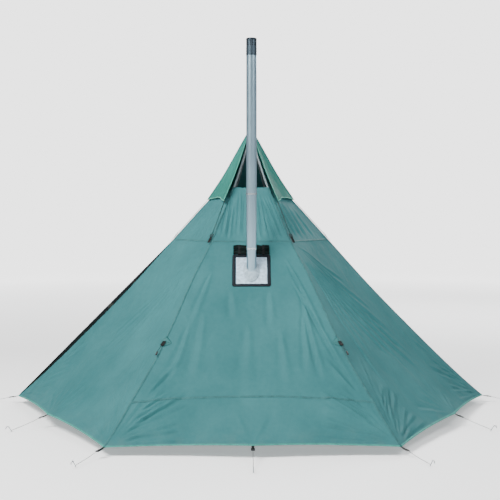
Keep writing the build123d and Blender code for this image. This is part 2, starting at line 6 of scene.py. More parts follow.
import math
from functools import partialmethod, reduce

import bmesh
import bpy
import numpy as np
from mathutils import Matrix, Vector, noise


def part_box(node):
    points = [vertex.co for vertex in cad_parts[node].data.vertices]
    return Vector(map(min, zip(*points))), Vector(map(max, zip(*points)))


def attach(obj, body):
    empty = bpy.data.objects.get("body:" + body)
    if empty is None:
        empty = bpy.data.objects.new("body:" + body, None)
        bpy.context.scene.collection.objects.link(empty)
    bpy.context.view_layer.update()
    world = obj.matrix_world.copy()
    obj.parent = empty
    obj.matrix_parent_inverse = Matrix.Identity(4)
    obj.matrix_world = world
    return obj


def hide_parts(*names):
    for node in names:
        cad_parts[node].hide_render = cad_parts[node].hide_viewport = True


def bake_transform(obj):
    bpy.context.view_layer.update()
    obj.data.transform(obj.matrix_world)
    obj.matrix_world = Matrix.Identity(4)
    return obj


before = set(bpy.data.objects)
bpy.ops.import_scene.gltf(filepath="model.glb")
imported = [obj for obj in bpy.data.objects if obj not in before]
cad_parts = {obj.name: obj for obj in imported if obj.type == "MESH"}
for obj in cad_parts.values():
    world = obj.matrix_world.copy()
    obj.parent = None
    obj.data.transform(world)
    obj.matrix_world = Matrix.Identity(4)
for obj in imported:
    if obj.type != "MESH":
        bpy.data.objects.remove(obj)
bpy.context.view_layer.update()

# ---------------------------------------------------------------- dimensions
SIDES, STEP, HALF = 6, 60, 30  # sides, and degrees from ridge to ridge and to mid-side
COS_HALF = math.cos(math.radians(HALF))
HEM_R, HEM_Z = 2.0, 0.062  # a hem corner
SHOULDER_R, SHOULDER_Z = 0.667, 1.405  # a corner of the level seam with the hood straps
SLOPE_LENGTH = math.hypot(HEM_R - SHOULDER_R, SHOULDER_Z - HEM_Z)
SILL_Z = 1.850  # lower edge of the open vent
PEAK_Z = 2.322
RIDGE_LINE = [  # radius and height of points down one ridge
    (2.000, 0.062),
    (1.871, 0.172),
    (1.656, 0.372),
    (1.345, 0.680),
    (1.080, 0.950),
    (0.667, 1.405),
    (0.455, 1.640),
    (0.270, 1.850),
    (0.148, 2.060),
    (0.066, 2.220),
    (0.010, 2.322),
]
HOOD_LINE = [(0.376, 1.745), (0.232, 1.963), (0.148, 2.110), (0.070, 2.250), (0.012, 2.350)]
HOOD_FRONT = 0.440  # the two front corners are drawn further out
HOOD_Z = 1.745
FRONT, DOOR_SIDE, DOOR_RIDGE = 270, 150, 180
FRONT_RIDGES = (240, 300)
HINGE_CLOTH = 0.05  # width of the cloth on each side of the door's hinge line
PEAK_SIDES = (330, 30, 90, 150, 210)
PULL_OUT = 0.058
HEM_RISE, FRONT_RISE = 0.038, 0.026
TAPE_INNER = 0.027  # where the door cloth ends beside the door ridge
JACK_Z = 1.184
JACK_R = 0.75136  # of the pipe's axis
JACK_SLOPE = math.radians(51.83)
UP_AXIS = np.array([0, 0, 1.0])


def radial(angle):
    """Unit vectors outward and along the side (counter-clockwise) at the angle."""
    a = math.radians(angle)
    return np.array([math.cos(a), math.sin(a), 0.0]), np.array([-math.sin(a), math.cos(a), 0.0])


def wall_normal(angle):
    """Rough way out of a wall: near enough for lifts of a few millimetres."""
    return radial(angle)[0] * 0.72 + UP_AXIS * 0.69


def smooth_line(points):
    """Radius as a smooth function of height through the points, from their own slopes."""
    radius, height = np.array(points, float).T
    slope = np.gradient(radius, height)

    def at(z):
        z = np.clip(z, height[0], height[-1])
        i = np.clip(np.searchsorted(height, z, side="right") - 1, 0, len(height) - 2)
        step = height[i + 1] - height[i]
        t = (z - height[i]) / step
        h00, h10 = 2 * t**3 - 3 * t**2 + 1, t**3 - 2 * t**2 + t
        h01, h11 = -2 * t**3 + 3 * t**2, t**3 - t**2
        ends = h00 * radius[i] + h10 * step * slope[i]
        return ends + h01 * radius[i + 1] + h11 * step * slope[i + 1]

    return at


ridge_radius = smooth_line(RIDGE_LINE)
hood_radius = smooth_line(HOOD_LINE)
FRONT_SHIFT = [  # height, and how far the two front ridges are drawn towards each other
    (0.062, 0.0),
    (0.20, 0.008),
    (0.34, 0.012),
    (0.45, 0.020),
    (0.58, 0.028),
    (0.69, 0.026),
    (0.85, 0.018),
    (1.00, 0.008),
    (1.15, 0.004),
    (1.405, 0.016),
    (1.62, 0.0),
    (1.85, -0.014),
    (2.10, -0.006),
    (2.322, 0.0),
]
front_shift = smooth_line([(shift, z) for z, shift in FRONT_SHIFT])


def drawn_in(angle, u, z):
    """Shift along x of a point of the fly beside a front ridge."""
    if angle == FRONT:
        return -np.sign(u) * np.abs(u) ** 1.6 * front_shift(z)
    if angle == FRONT + STEP:
        return -(((1 - u) / 2) ** 3) * front_shift(z)
    if angle == FRONT - STEP:
        return ((1 + u) / 2) ** 3 * front_shift(z)
    return 0 * u


def straight_radius(z):
    """Radius of the straight zip line from hem corner to shoulder."""
    return HEM_R + (z - HEM_Z) * (SHOULDER_R - HEM_R) / (SHOULDER_Z - HEM_Z)


def smoothstep(x):
    x = np.clip(x, 0, 1)
    return x * x * (3 - 2 * x)


def bump(x, width):
    """A round bump of the width about zero."""
    return np.exp(-((x / width) ** 2))


# ---------------------------------------------------------------- folds of the cloth
def crease(x, y, start, end, width, depth, taper=0.25):
    """A soft fold from start to end on a side's own map: a ridge beside a valley."""
    sx, sy = start
    dx, dy = end[0] - sx, end[1] - sy
    length = math.hypot(dx, dy)
    along = ((x - sx) * dx + (y - sy) * dy) / length**2
    across = ((x - sx) * dy - (y - sy) * dx) / length
    ends = smoothstep(along / taper) * smoothstep((1 - along) / taper)
    spread = width * (0.6 + 0.9 * np.clip(along, 0, 1))
    return depth * ends * (bump(across, spread) - 0.8 * bump(across - 1.5 * spread, spread))


def fan(x, y, centre, angles, length, width, depth):
    """Folds that spread out from a pull point."""
    total = np.zeros_like(x)
    for number, angle in enumerate(angles):
        a = math.radians(angle)
        reach = length * (0.75 + 0.35 * ((number * 7) % 5) / 4)
        end = (centre[0] + reach * math.cos(a), centre[1] + reach * math.sin(a))
        total += crease(x, y, centre, end, width, depth * (0.7 + 0.3 * (number % 2)), 0.18)
    return total


def crinkle(x, y, seed, size):
    """Uneven crinkles of light cloth: crossing waves with seeded ways and phases."""
    total = np.zeros_like(x, dtype=float)
    turns = np.random.default_rng(int(seed) + 100)
    for octave in range(7):
        angle, phase, bend = turns.uniform(0, 2 * math.pi, 3)
        pitch = size * (1.9 - 0.18 * octave)
        across = (x * math.cos(angle) + y * math.sin(angle)) / pitch
        along = (y * math.cos(angle) - x * math.sin(angle)) / pitch
        total += np.sin(2 * math.pi * across + phase + 1.3 * np.sin(2.1 * along + bend))
    return total / 4.2


def line_folds(x, y, folds, turn=1, taper=0.3):
    """Folds given as start, end, width and depth."""
    total = np.zeros_like(x)
    for x0, y0, x1, y1, width, depth in folds:
        total += crease(x, y, (turn * x0, y0), (turn * x1, y1), width, depth, taper)
    return total


CORNER_FOLDS = [  # both lower corners of the front side
    (0.86, 0.14, 0.46, 0.42, 0.016, 0.0162),
    (0.84, 0.20, 0.50, 0.43, 0.014, 0.0135),
    (0.80, 0.27, 0.56, 0.42, 0.013, 0.0115),
    (0.90, 0.10, 0.56, 0.29, 0.014, 0.0115),
    (0.97, 0.05, 0.42, 0.13, 0.012, 0.0095),
    (0.97, 0.02, 0.36, 0.05, 0.010, 0.0074),
    (0.76, 0.38, 0.53, 0.70, 0.016, 0.0095),
]
LEFT_FOLDS = [
    (-0.36, 1.12, -0.42, 0.46, 0.030, 0.0090),
    (-0.47, 1.00, -0.60, 0.46, 0.022, 0.0112),
    (-0.30, 1.50, -0.46, 0.98, 0.018, 0.0090),
    (-0.15, 1.36, -0.12, 1.00, 0.026, 0.0083),
]
RIGHT_FOLDS = [
    (0.30, 1.45, 0.79, 0.40, 0.015, 0.0135),
    (0.27, 1.62, 0.58, 0.86, 0.014, 0.0128),
    (0.38, 1.31, 0.55, 0.44, 0.018, 0.0120),
    (0.40, 1.18, 0.43, 0.52, 0.020, 0.0097),
    (0.22, 0.95, 0.27, 0.46, 0.026, 0.0090),
    (0.14, 1.37, 0.17, 0.92, 0.024, 0.0083),
    (-0.02, 1.02, -0.02, 0.46, 0.032, 0.0083),
]
NECK_FOLDS = [  # the front side above the shoulder seam: x and height
    (-0.150, 1.83, -0.235, 1.42, 0.010, 0.0105),
    (-0.140, 1.70, -0.185, 1.41, 0.009, 0.0090),
    (-0.080, 1.84, -0.100, 1.42, 0.010, 0.0083),
    (-0.040, 1.80, -0.045, 1.41, 0.009, 0.0067),
    (0.060, 1.82, 0.130, 1.42, 0.010, 0.0090),
    (0.090, 1.78, 0.250, 1.41, 0.009, 0.0112),
    (0.125, 1.80, 0.290, 1.43, 0.008, 0.0097),
    (0.045, 1.62, 0.075, 1.41, 0.008, 0.0067),
    (0.115, 1.62, 0.185, 1.41, 0.008, 0.0083),
]
SIDE_NECK_FOLDS = [  # the sides next to the front one, mirrored for the left one
    (-0.13, 1.82, -0.265, 1.41, 0.011, 0.0105),
    (-0.08, 1.80, -0.190, 1.41, 0.012, 0.0105),
    (-0.03, 1.76, -0.110, 1.41, 0.012, 0.0090),
    (0.03, 1.72, -0.020, 1.41, 0.014, 0.0083),
    (0.09, 1.70, 0.110, 1.41, 0.014, 0.0067),
]
SIDE_RAYS = [  # direction, reach, width and depth of the long folds below the right hood strap
    (-44, 0.62, 0.013, 0.0059),
    (-52, 0.95, 0.014, 0.0072),
    (-58, 1.20, 0.017, 0.0084),
    (-63, 1.45, 0.015, 0.0078),
    (-68, 1.55, 0.018, 0.0091),
    (-74, 1.45, 0.015, 0.0084),
    (-79, 1.30, 0.013, 0.0072),
    (-85, 1.10, 0.013, 0.0065),
    (-91, 1.20, 0.012, 0.0065),
    (-97, 1.50, 0.012, 0.0065),
]


def rays(x, y, start, folds):
    """Long folds that run down from one pull point."""
    total = np.zeros_like(x)
    for degrees, reach, width, depth in folds:
        a = math.radians(degrees)
        end = (start[0] + reach * math.cos(a), start[1] + reach * math.sin(a))
        total += crease(x, y, start, end, width, depth, 0.22)
    return total


def wall_folds(angle, x, y):
    """How far the cloth of one side stands off its smooth surface. x runs along the side from its
    middle, y up the slope from the hem, both in metres."""
    d = np.zeros_like(x)
    for turn in (-1, 1):
        mirrored = [180 - a if turn > 0 else a for a in (9, 20, 31, 42, 51, 60)]
        d += fan(x, y, (turn * 0.985, 0.01), mirrored, 0.58, 0.013, 0.0055)
    if angle == FRONT:
        for turn in (-1, 1):
            d += line_folds(x, y, CORNER_FOLDS, turn)
        d += line_folds(x, y, LEFT_FOLDS + RIGHT_FOLDS)
        d += fan(x, y, (0, 0.0), (28, 64, 116, 152), 0.26, 0.014, 0.0030)
    else:
        d += fan(x, y, (0, 0.0), (22, 38, 62, 84, 99, 118, 142, 160), 0.36, 0.013, 0.0045)
        for turn in (-1, 1):
            d += 0.6 * line_folds(x, y, CORNER_FOLDS, turn)
    if angle == FRONT + STEP:
        d += rays(x, y, (-0.31, 1.76), SIDE_RAYS)
    elif angle == FRONT - STEP:
        d += rays(x, y, (0.31, 1.76), [(-180 - a, r * 0.85, w, 0.8 * h) for a, r, w, h in SIDE_RAYS[3:]])
    elif angle != FRONT:
        d += 0.7 * line_folds(x, y, LEFT_FOLDS + RIGHT_FOLDS, 1 if angle == 90 else -1)
    d += 0.0050 * crinkle(x, y * 0.45, angle + 7, 0.40)
    d += 0.0028 * crinkle(x, y * 0.55, angle, 0.16)
    return d + 0.0011 * crinkle(x + 5, y * 0.7, angle + 3, 0.06)


# ---------------------------------------------------------------- the fly's surface
def jack_hold(x, z):
    """1 where the cloth is held flat round the stove jack, falling to 0 away from it."""
    up = (z - JACK_Z) / math.sin(JACK_SLOPE)
    across = smoothstep((0.30 - np.abs(x)) / 0.14)
    return across * smoothstep((0.29 - np.abs(up - 0.03)) / 0.10)


def hem_rise(angle):
    return FRONT_RISE if angle == FRONT else HEM_RISE


def wall_points(angle, u, t):
    """Points of a lower wall: u from -1 to 1 between its ridges, t from 0 at the hem to 1 at the
    shoulder."""
    out, side = radial(angle)
    z = HEM_Z + (SHOULDER_Z - HEM_Z) * t
    radius = ridge_radius(z)
    door = angle == DOOR_SIDE
    if door:
        radius = radius + (straight_radius(z) - radius) * smoothstep((u + 1) / 0.95)
    apothem = radius * COS_HALF
    x = u * radius / 2
    low = (1 - t) ** 2.2
    rise = hem_rise(angle) * (1 - np.abs(u) ** 1.7) * low
    reach = (1 - np.abs(u)) ** 1.35 - 0.16 * np.sin(np.pi * np.abs(u))
    flare = (PULL_OUT + 0.006) * reach * np.exp(-t / 0.16) * (0.25 if door else 1.0)
    flare = flare * smoothstep((1 - t) / 0.1)
    rise_back = rise * 0.82 * (1 - np.exp(-t / 0.16))
    sag = 0.018 * (1 - u**2) * np.sin(np.pi * np.clip(t, 0, 1)) ** 0.8
    if door:
        sag = sag * smoothstep(-u / 0.8)
    y = t * SLOPE_LENGTH * 0.94
    edge = 1 - np.abs(u) ** 10
    quiet = (0.35 + 0.65 * smoothstep(t / 0.015)) * smoothstep((1 - t) / 0.03)
    folds = wall_folds(angle, x, y) * edge * quiet
    if door:
        folds = folds * (0.35 + 0.65 * smoothstep(np.abs(u) / 0.15)) * (1 - 0.7 * smoothstep(u / 0.2))
    level = -sag + folds
    if angle == FRONT:
        held = jack_hold(x, z)
        plane = JACK_R + (JACK_Z - z) / math.tan(JACK_SLOPE)
        apothem = apothem + (plane - apothem) * held
        level = level * (1 - held) - 0.0012 * held
    points = (
        (apothem + flare - rise_back)[..., None] * out
        + x[..., None] * side
        + (z + rise)[..., None] * UP_AXIS
        + level[..., None] * wall_normal(angle)
    )
    points[..., 0] += drawn_in(angle, u, z)
    return points


def upper_points(angle, u, z):
    """Points of a wall above the shoulder."""
    out, side = radial(angle)
    radius = ridge_radius(z)
    sag = 0.006 * (1 - u**2) * np.sin(np.pi * np.clip((z - SHOULDER_Z) / (PEAK_Z - SHOULDER_Z), 0, 1))
    edge = 1 - np.abs(u) ** 10
    ripple = 0.0012 * crinkle(u * radius, z, angle + 11, 0.07) * edge
    quiet = smoothstep((z - SHOULDER_Z) / 0.03)
    x = u * radius / 2
    if angle == FRONT:
        ripple = ripple + line_folds(x, z, NECK_FOLDS) * edge
    elif angle in (FRONT - STEP, FRONT + STEP):
        ripple = ripple + line_folds(x, z, SIDE_NECK_FOLDS, (angle - FRONT) / STEP) * edge
    level = (-sag + ripple * quiet)[..., None]
    points = (
        (radius * COS_HALF)[..., None] * out
        + x[..., None] * side
        + z[..., None] * UP_AXIS
        + level * (0.75 * out + 0.6 * UP_AXIS)
    )
    points[..., 0] += drawn_in(angle, u, z)
    return points


# ---------------------------------------------------------------- mesh helpers
def in_scene(name, data):
    obj = bpy.data.objects.new(name, data)
    bpy.context.scene.collection.objects.link(obj)
    return obj


def mesh_object(name, points, faces, uvs=None):
    mesh = bpy.data.meshes.new(name)
    mesh.from_pydata([tuple(p) for p in points], [], faces)
    if uvs is not None:
        layer = mesh.uv_layers.new(name="cloth")
        flat = np.array([uvs[i] for face in faces for i in face], np.float32)
        layer.data.foreach_set("uv", flat.ravel())
    mesh.polygons.foreach_set("use_smooth", [True] * len(mesh.polygons))
    mesh.update()
    return in_scene(name, mesh)


def grid_faces(rows, columns, offset=0):
    corners = [offset + j * columns + i for j in range(rows - 1) for i in range(columns - 1)]
    return [(a, a + 1, a + columns + 1, a + columns) for a in corners]


def weld(obj, distance=0.0002):
    bm = bmesh.new()
    bm.from_mesh(obj.data)
    bmesh.ops.remove_doubles(bm, verts=bm.verts, dist=distance)
    bmesh.ops.recalc_face_normals(bm, faces=bm.faces)
    bm.to_mesh(obj.data)
    bm.free()


def face_outward(obj):
    """Make the faces look away from the centre pole."""
    bm = bmesh.new()
    bm.from_mesh(obj.data)
    total = sum(
        f.calc_area() * f.normal.dot(f.calc_center_median() * Vector((1, 1, 0))) for f in bm.faces
    )
    if total < 0:
        bmesh.ops.reverse_faces(bm, faces=bm.faces)
    bm.to_mesh(obj.data)
    bm.free()


def thicken(obj, thickness, offset=-1.0):
    modifier = obj.modifiers.new("cloth thickness", "SOLIDIFY")
    modifier.thickness = thickness
    modifier.offset = offset
    modifier.use_even_offset = False
    return obj


# ---------------------------------------------------------------- materials
def rgb(red, green, blue):
    """A shader colour from 0-255 values as seen."""
    return tuple((c / 255) ** 2.2 for c in (red, green, blue)) + (1.0,)


def scaled(colour, factor, lift=0.0):
    """A darker or lighter form of the colour."""
    return tuple(min(1, c * factor + lift) for c in colour[:3]) + (1.0,)


class Wire:
    """A value that runs through a shader's nodes. Reckoning with it adds the nodes."""

    def __init__(self, look, socket):
        self.look, self.socket = look, socket

    def maths(self, operation, other=0.0):
        return self.look.add("ShaderNodeMath", {0: self, 1: other}, operation=operation)

    __add__ = partialmethod(maths, "ADD")
    __sub__ = partialmethod(maths, "SUBTRACT")
    __mul__ = partialmethod(maths, "MULTIPLY")
    __truediv__ = partialmethod(maths, "DIVIDE")
    larger = partialmethod(maths, "MAXIMUM")

    def split(self):
        """The three parts of a position."""
        parts = self.look.add("ShaderNodeSeparateXYZ", {0: self}).socket.node.outputs
        return [Wire(self.look, part) for part in parts]

    def spread(self, low, high, to_low, to_high):
        """The range from low to high stretched to another one, and clamped to it."""
        return self.look.add("ShaderNodeMapRange", dict(enumerate((self, low, high, to_low, to_high))))

    def mix(self, a, b):
        """Colour a where the value is 0, b where it is 1."""
        inputs = {0: self, MIX_A: a, MIX_B: b}
        return self.look.add("ShaderNodeMix", inputs, MIX_RESULT, data_type="RGBA")

    def cloud(self, scale, detail=3.0, rough=0.5):
        """Smooth noise over a position."""
        inputs = {"Vector": self, "Scale": scale, "Detail": detail, "Roughness": rough}
        return self.look.add("ShaderNodeTexNoise", inputs)

    def lines(self, pitch, width):
        """1 on thin lines at the pitch along a coordinate, else 0."""
        off = ((self / pitch).maths("FRACT") - 0.5).maths("ABSOLUTE")
        return off.spread(0.5 - width, 0.5 - width * 0.4, 0.0, 1.0)


MIX_A, MIX_B, MIX_RESULT = 6, 7, 2  # the colour sockets of a mix node


class Look:
    """A new material with one principled shader."""

    def __init__(self, name):
        self.material = bpy.data.materials.new(name)
        self.material.use_nodes = True
        self.tree = self.material.node_tree
        self.tree.nodes.clear()
        self.surface = self.tree.nodes.new("ShaderNodeOutputMaterial").inputs["Surface"]
        self.shader = self.add("ShaderNodeBsdfPrincipled")
        self.feed(self.surface, self.shader)

    def feed(self, socket, value):
        if isinstance(value, Wire):
            self.tree.links.new(value.socket, socket)
        else:
            socket.default_value = value

    def add(self, kind, inputs=None, output=0, **settings):
        """A node with its settings, and its inputs set to values or fed by wires."""
        node = self.tree.nodes.new(kind)
        for key, value in settings.items():
            setattr(node, key, value)
        for key, value in (inputs or {}).items():
            self.feed(node.inputs[key], value)
        return Wire(self, node.outputs[output])

    def place(self, name):
        """A position on the piece: "Object" in metres, or the cloth's own "UV" in metres."""
        return self.add("ShaderNodeTexCoord", output=name)

    def shade(self, inputs, relief=None, strength=0.0, distance=0.001):
        """Set the principled shader's inputs, and a fine relief on top."""
        sockets = self.shader.socket.node.inputs
        for key, value in inputs.items():
            self.feed(sockets[key], value)
        if relief:
            bump = {"Height": relief, "Strength": strength, "Distance": distance}
            self.feed(sockets["Normal"], self.add("ShaderNodeBump", bump))
        return self.material


def ripstop(name, light, dark, glow=0.05, grid=0.009):
    """Coated ripstop cloth: a fine raised grid, a low sheen, uneven colour and dust at the hem."""
    look = Look(name)
    across, along, _ = look.place("UV").split()
    where = look.place("Object")
    grids = across.lines(grid, 0.09).larger(along.lines(grid, 0.09))
    weave = across.lines(0.0012, 0.3) + along.lines(0.0012, 0.3)
    fine = where.cloud(34.0, 3.0, 0.6)
    tone = where.cloud(2.3, 4.0, 0.55) * 0.75 + fine * 0.25
    lined = (grids * 0.05).mix(tone.spread(0.33, 0.67, 0.0, 1.0).mix(dark, light), rgb(150, 190, 190))
    near_ground = where.split()[2].spread(0.07, 0.20, 1.0, 0.0)
    dust = near_ground * where.cloud(11.0, 5.0).spread(0.45, 0.75, 0.0, 0.06)
    colour = dust.mix(lined, rgb(150, 146, 130))
    through = look.add("ShaderNodeBsdfTranslucent", {"Color": colour})
    look.feed(look.surface, look.add("ShaderNodeMixShader", {0: glow, 1: look.shader, 2: through}))
    inputs = {"Base Color": colour, "Roughness": fine.spread(0.3, 0.7, 0.50, 0.64)}
    inputs |= {"Sheen Weight": 0.01, "Sheen Roughness": 0.4, "Specular IOR Level": 0.03}
    return look.shade(inputs, weave * 0.25 + grids + fine * 2.0, 0.18, 0.0006)


def stitched(name, colour, thread, rows=(0.22, 0.78)):
    """Tape or binding whose UV runs across it from 0 to 1 and along it in metres."""
    look = Look(name)
    across, along, _ = look.place("UV").split()
    dash = (along / 0.0045).maths("FRACT").spread(0.62, 0.72, 1.0, 0.0)
    offs = [(across - row).maths("ABSOLUTE").spread(0.025, 0.05, 1.0, 0.0) * dash for row in rows]
    stitch = reduce(Wire.larger, offs)
    tone = look.place("Object").cloud(26.0, 4.0)
    weave = along.lines(0.0014, 0.35)
    base = tone.spread(0.35, 0.7, 0.0, 1.0).mix(scaled(colour, 0.66), colour)
    base = (weave * 0.04).mix(base, rgb(200, 205, 205))
    inputs = {"Base Color": stitch.mix(base, thread), "Roughness": 0.55}
    inputs |= {"Sheen Weight": 0.01, "Specular IOR Level": 0.05}
    return look.shade(inputs, stitch * 1.4 + weave * 0.5 + tone, 0.3, 0.0007)


def woven(name, colour, thread, rough=0.7, size=0.0026):
    """Coarse woven webbing, cord sheath or glass cloth, told from object positions."""
    look = Look(name)
    where = look.place("Object")
    x, y, _ = look.add("ShaderNodeMapping", {"Vector": where, "Rotation": (0.6, 0.4, 0.785)}).split()
    ribs = x.lines(size, 0.4) * y.lines(size, 0.4)
    tone = where.cloud(45.0)
    base = tone.spread(0.35, 0.68, 0.0, 1.0).mix(scaled(colour, 0.6), colour)
    base = (ribs * 0.35).mix(base, thread)
    base = where.cloud(9.0, 4.0).spread(0.58, 0.8, 0.0, 0.18).mix(base, rgb(140, 136, 124))
    inputs = {"Base Color": base, "Roughness": tone.spread(0.3, 0.7, rough - 0.08, rough + 0.1)}
    inputs |= {"Sheen Weight": 0.04, "Specular IOR Level": 0.14}
    return look.shade(inputs, ribs + tone, 0.4, 0.0006)


def metal(name, colour, rough, streak=(90, 90, 4), smeared=1.0):
    """Brushed or drawn metal with smears and fine streaks."""
    look = Look(name)
    where = look.place("Object")
    grain = look.add("ShaderNodeMapping", {"Vector": where, "Scale": streak}).cloud(3.0, 5.0, 0.6)
    smear = where.cloud(7.0, 4.0, 0.6)
    inputs = {
        "Base Color": grain.spread(0.3, 0.7, 0.0, 1.0).mix(scaled(colour, 0.8), colour),
        "Metallic": 1.0,
        "Roughness": smear.spread(0.3, 0.75, rough - 0.07 * smeared, rough + 0.14 * smeared),
    }
    return look.shade(inputs, grain, 0.03 * smeared, 0.0003)


def plastic(name, colour, rough=0.42):
    look = Look(name)
    where = look.place("Object")
    scuff = where.cloud(210.0, 5.0, 0.7)
    tone = where.cloud(60.0, 4.0).spread(0.35, 0.7, 0.0, 1.0)
    base = scuff.spread(0.6, 0.75, 0.0, 0.35).mix(
        tone.mix(colour, scaled(colour, 1.7, 0.004)), rgb(120, 122, 124)
    )
    inputs = {"Base Color": base, "Roughness": scuff.spread(0.3, 0.7, rough - 0.1, rough + 0.16)}
    return look.shade(inputs, scuff, 0.12, 0.0004)


FLY = ripstop("fly ripstop", rgb(60, 107, 110), rgb(50, 94, 97))
HOOD = ripstop("hood ripstop", rgb(50, 112, 102), rgb(40, 94, 86))
SEAM = stitched("felled seam", rgb(52, 99, 101), rgb(37, 78, 80))
PATCH = stitched("doubled patch", rgb(52, 104, 105), rgb(30, 70, 72), rows=(0.08, 0.5, 0.92))
HEM = stitched("hem fold", rgb(62, 138, 128), rgb(104, 170, 160))
EDGE = stitched("hood edge tape", rgb(88, 168, 148), rgb(60, 120, 108))
INNER_TAPE = woven("seam sealing tape", rgb(120, 132, 136), rgb(160, 170, 172), 0.6)
WEBBING = stitched("webbing", rgb(9, 12, 14), rgb(40, 46, 48), rows=(0.12, 0.88))
GUY = woven("guy cord", rgb(14, 20, 20), rgb(90, 108, 100), 0.65, 0.0022)
GLASS = woven("glass cloth", rgb(178, 204, 224), rgb(205, 224, 238), 0.6, 0.0035)
BORDER = stitched("jack border cloth", rgb(8, 20, 30), rgb(52, 70, 82), rows=(0.14, 0.86))
FLAP = ripstop("jack flap cloth", rgb(8, 20, 18), rgb(3, 10, 9), glow=0.0)
CUFF = woven("jack cuff cloth", rgb(158, 180, 194), rgb(184, 202, 212), 0.6, 0.003)
STEEL = metal("flue steel", rgb(166, 196, 212), 0.30, streak=(60, 60, 0.25), smeared=0.25)
# The joint rings are the pipe's own steel painted lighter: a painted highlight along each joint.
RING_PAINTED_HIGHLIGHT = metal("ring steel painted highlight", rgb(214, 226, 232), 0.24, streak=(60, 60, 0.25), smeared=0.25)
ARRESTOR = metal("arrestor steel", rgb(70, 82, 91), 0.42, streak=(60, 60, 6))
SOOTY = metal("sooty steel", rgb(34, 39, 44), 0.50, streak=(60, 60, 6))
GAUZE = woven("sooty gauze", rgb(12, 16, 18), rgb(34, 42, 46), 0.6, 0.0016)
PEG = metal("peg steel", rgb(168, 172, 176), 0.36, streak=(60, 60, 20))
POLE = metal("pole alloy", rgb(186, 190, 192), 0.34)
BLACK = plastic("buckle plastic", rgb(10, 11, 13))
RUBBER = plastic("pole rubber", rgb(26, 26, 27), 0.7)
ZIP = plastic("zip moulding", rgb(24, 27, 28), 0.35)
ZIP_TAPE = woven("zip tape", rgb(8, 18, 20), rgb(36, 50, 50), 0.7)


def paint(obj, material):
    obj.data.materials.clear()
    obj.data.materials.append(material)
    return obj


def nodes_named(part):
    return [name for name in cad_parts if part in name]


for finish, *names in (
    (ZIP_TAPE, "door_zip_tape", "zip_tape"),
    (ZIP, "zip_slider", "zip_pull"),
    (BLACK, "door_toggles", *nodes_named("buckle")),
    (STEEL, "pipe_lower", "pipe_middle", "pipe_upper"),
    # the pipe's rings take the steel with the painted highlight
    (RING_PAINTED_HIGHLIGHT, "pipe_rings"),
    (ARRESTOR, "arrestor_mesh"),
    (SOOTY, "arrestor_cap"),
    (PEG, "pegs"),
    (RUBBER, "pole_foot", "peak_cup"),
    (POLE, "pole_tip", *nodes_named("pole_section")),
):
    for name in names:
        paint(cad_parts[name], finish)


# ---------------------------------------------------------------- the fly
def piece(obj, body, material, slot, *nodes):
    """Finish a visual piece: its looks, the body it moves with and the CAD nodes it stands for."""
    paint(obj, material)
    if body:
        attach(obj, body)
    if nodes:
        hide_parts(*nodes)
    return obj


def new_store():
    return {"points": [], "faces": [], "uv": []}


def add_block(store, points, flat):
    """Add a grid of points with its faces and its place on the flat cloth."""
    store["faces"].extend(grid_faces(*points.shape[:2], len(store["points"])))
    store["points"].extend(points.reshape(-1, 3).tolist())
    store["uv"].extend(np.stack(flat, -1).reshape(-1, 2).tolist())


def cloth_from(name, store, faces=None):
    """A cloth of even thickness from the stored blocks."""
    cloth = mesh_object(name, store["points"], faces or store["faces"], store["uv"])
    weld(cloth)
    face_outward(cloth)
    return thicken(cloth, CLOTH)


CLOTH = 0.0011
SIDE_U = 2.2  # distance between the sides on the flat cloth
NARROWING = 0.66  # how much narrower a side is at the shoulder than at the hem
WALL_ROWS = 200
HALF_ACROSS = 41
PLAIN_ACROSS = 2 * HALF_ACROSS - 1
ACROSS = {FRONT: 181, FRONT - STEP: 161, FRONT + STEP: 161}


def wall_z(t):
    return HEM_Z + (SHOULDER_Z - HEM_Z) * t


def wall_t(z):
    return (z - HEM_Z) / (SHOULDER_Z - HEM_Z)


def door_line(t):
    """u of the line before the door's hinge where the fixed cloth hands over."""
    return -2 * HINGE_CLOTH / straight_radius(wall_z(t))


def fly_columns(angle):
    """Places across a side, closer together beside the ridges, where the folds are narrow."""
    s = np.linspace(-1, 1, ACROSS.get(angle, PLAIN_ACROSS))
    return 1.28 * s - 0.28 * s**3


def in_jack(face, points):
    """True for a face that lies in the stove jack's opening."""
    middle = np.mean([points[i] for i in face], axis=0)
    up = (middle[2] - JACK_Z) / math.sin(JACK_SLOPE)
    return middle[1] < -0.5 and abs(middle[0]) < 0.128 and abs(up) < 0.138


def canopy():
    """One cloth over all six sides, open at the door, the vent and the stove jack."""
    store = new_store()
    for side in range(SIDES):
        angle = HALF + side * STEP
        columns = fly_columns(angle)
        u, t = np.meshgrid(columns, np.linspace(0, 1, WALL_ROWS))
        if angle == DOOR_SIDE:
            s, t = np.meshgrid(np.linspace(0, 1, HALF_ACROSS), np.linspace(0, 1, WALL_ROWS))
            u = -1 + s * (1 + door_line(t))
            hand_over = door_line(1.0)
            fixed = np.linspace(-1, hand_over, HALF_ACROSS)
            columns = np.concatenate([fixed, np.linspace(hand_over, 1, HALF_ACROSS)[1:]])
        flat = (u * (1 - NARROWING * t) + side * SIDE_U, t * SLOPE_LENGTH)
        add_block(store, wall_points(angle, u, t), flat)
        for low, high, rows in ((SHOULDER_Z, SILL_Z, 56), (SILL_Z, PEAK_Z, 26)):
            if low == SILL_Z and angle == FRONT:
                continue
            u, z = np.meshgrid(columns, np.linspace(low, high, rows))
            up = SLOPE_LENGTH + (z - SHOULDER_Z) * 1.12
            add_block(store, upper_points(angle, u, z), (u * ridge_radius(z) / 2 + side * SIDE_U, up))
    faces = [f for f in store["faces"] if not in_jack(f, store["points"])]
    cloth = cloth_from("fly_canopy", store, faces)
    nodes = (
        "front_panel front_hem_band front_right_panel back_right_panel back_panel "
        "back_left_panel front_left_panel upper_panels peak_panels"
    )
    piece(cloth, "tent", FLY, "fly_fabric", *nodes.split())


canopy()


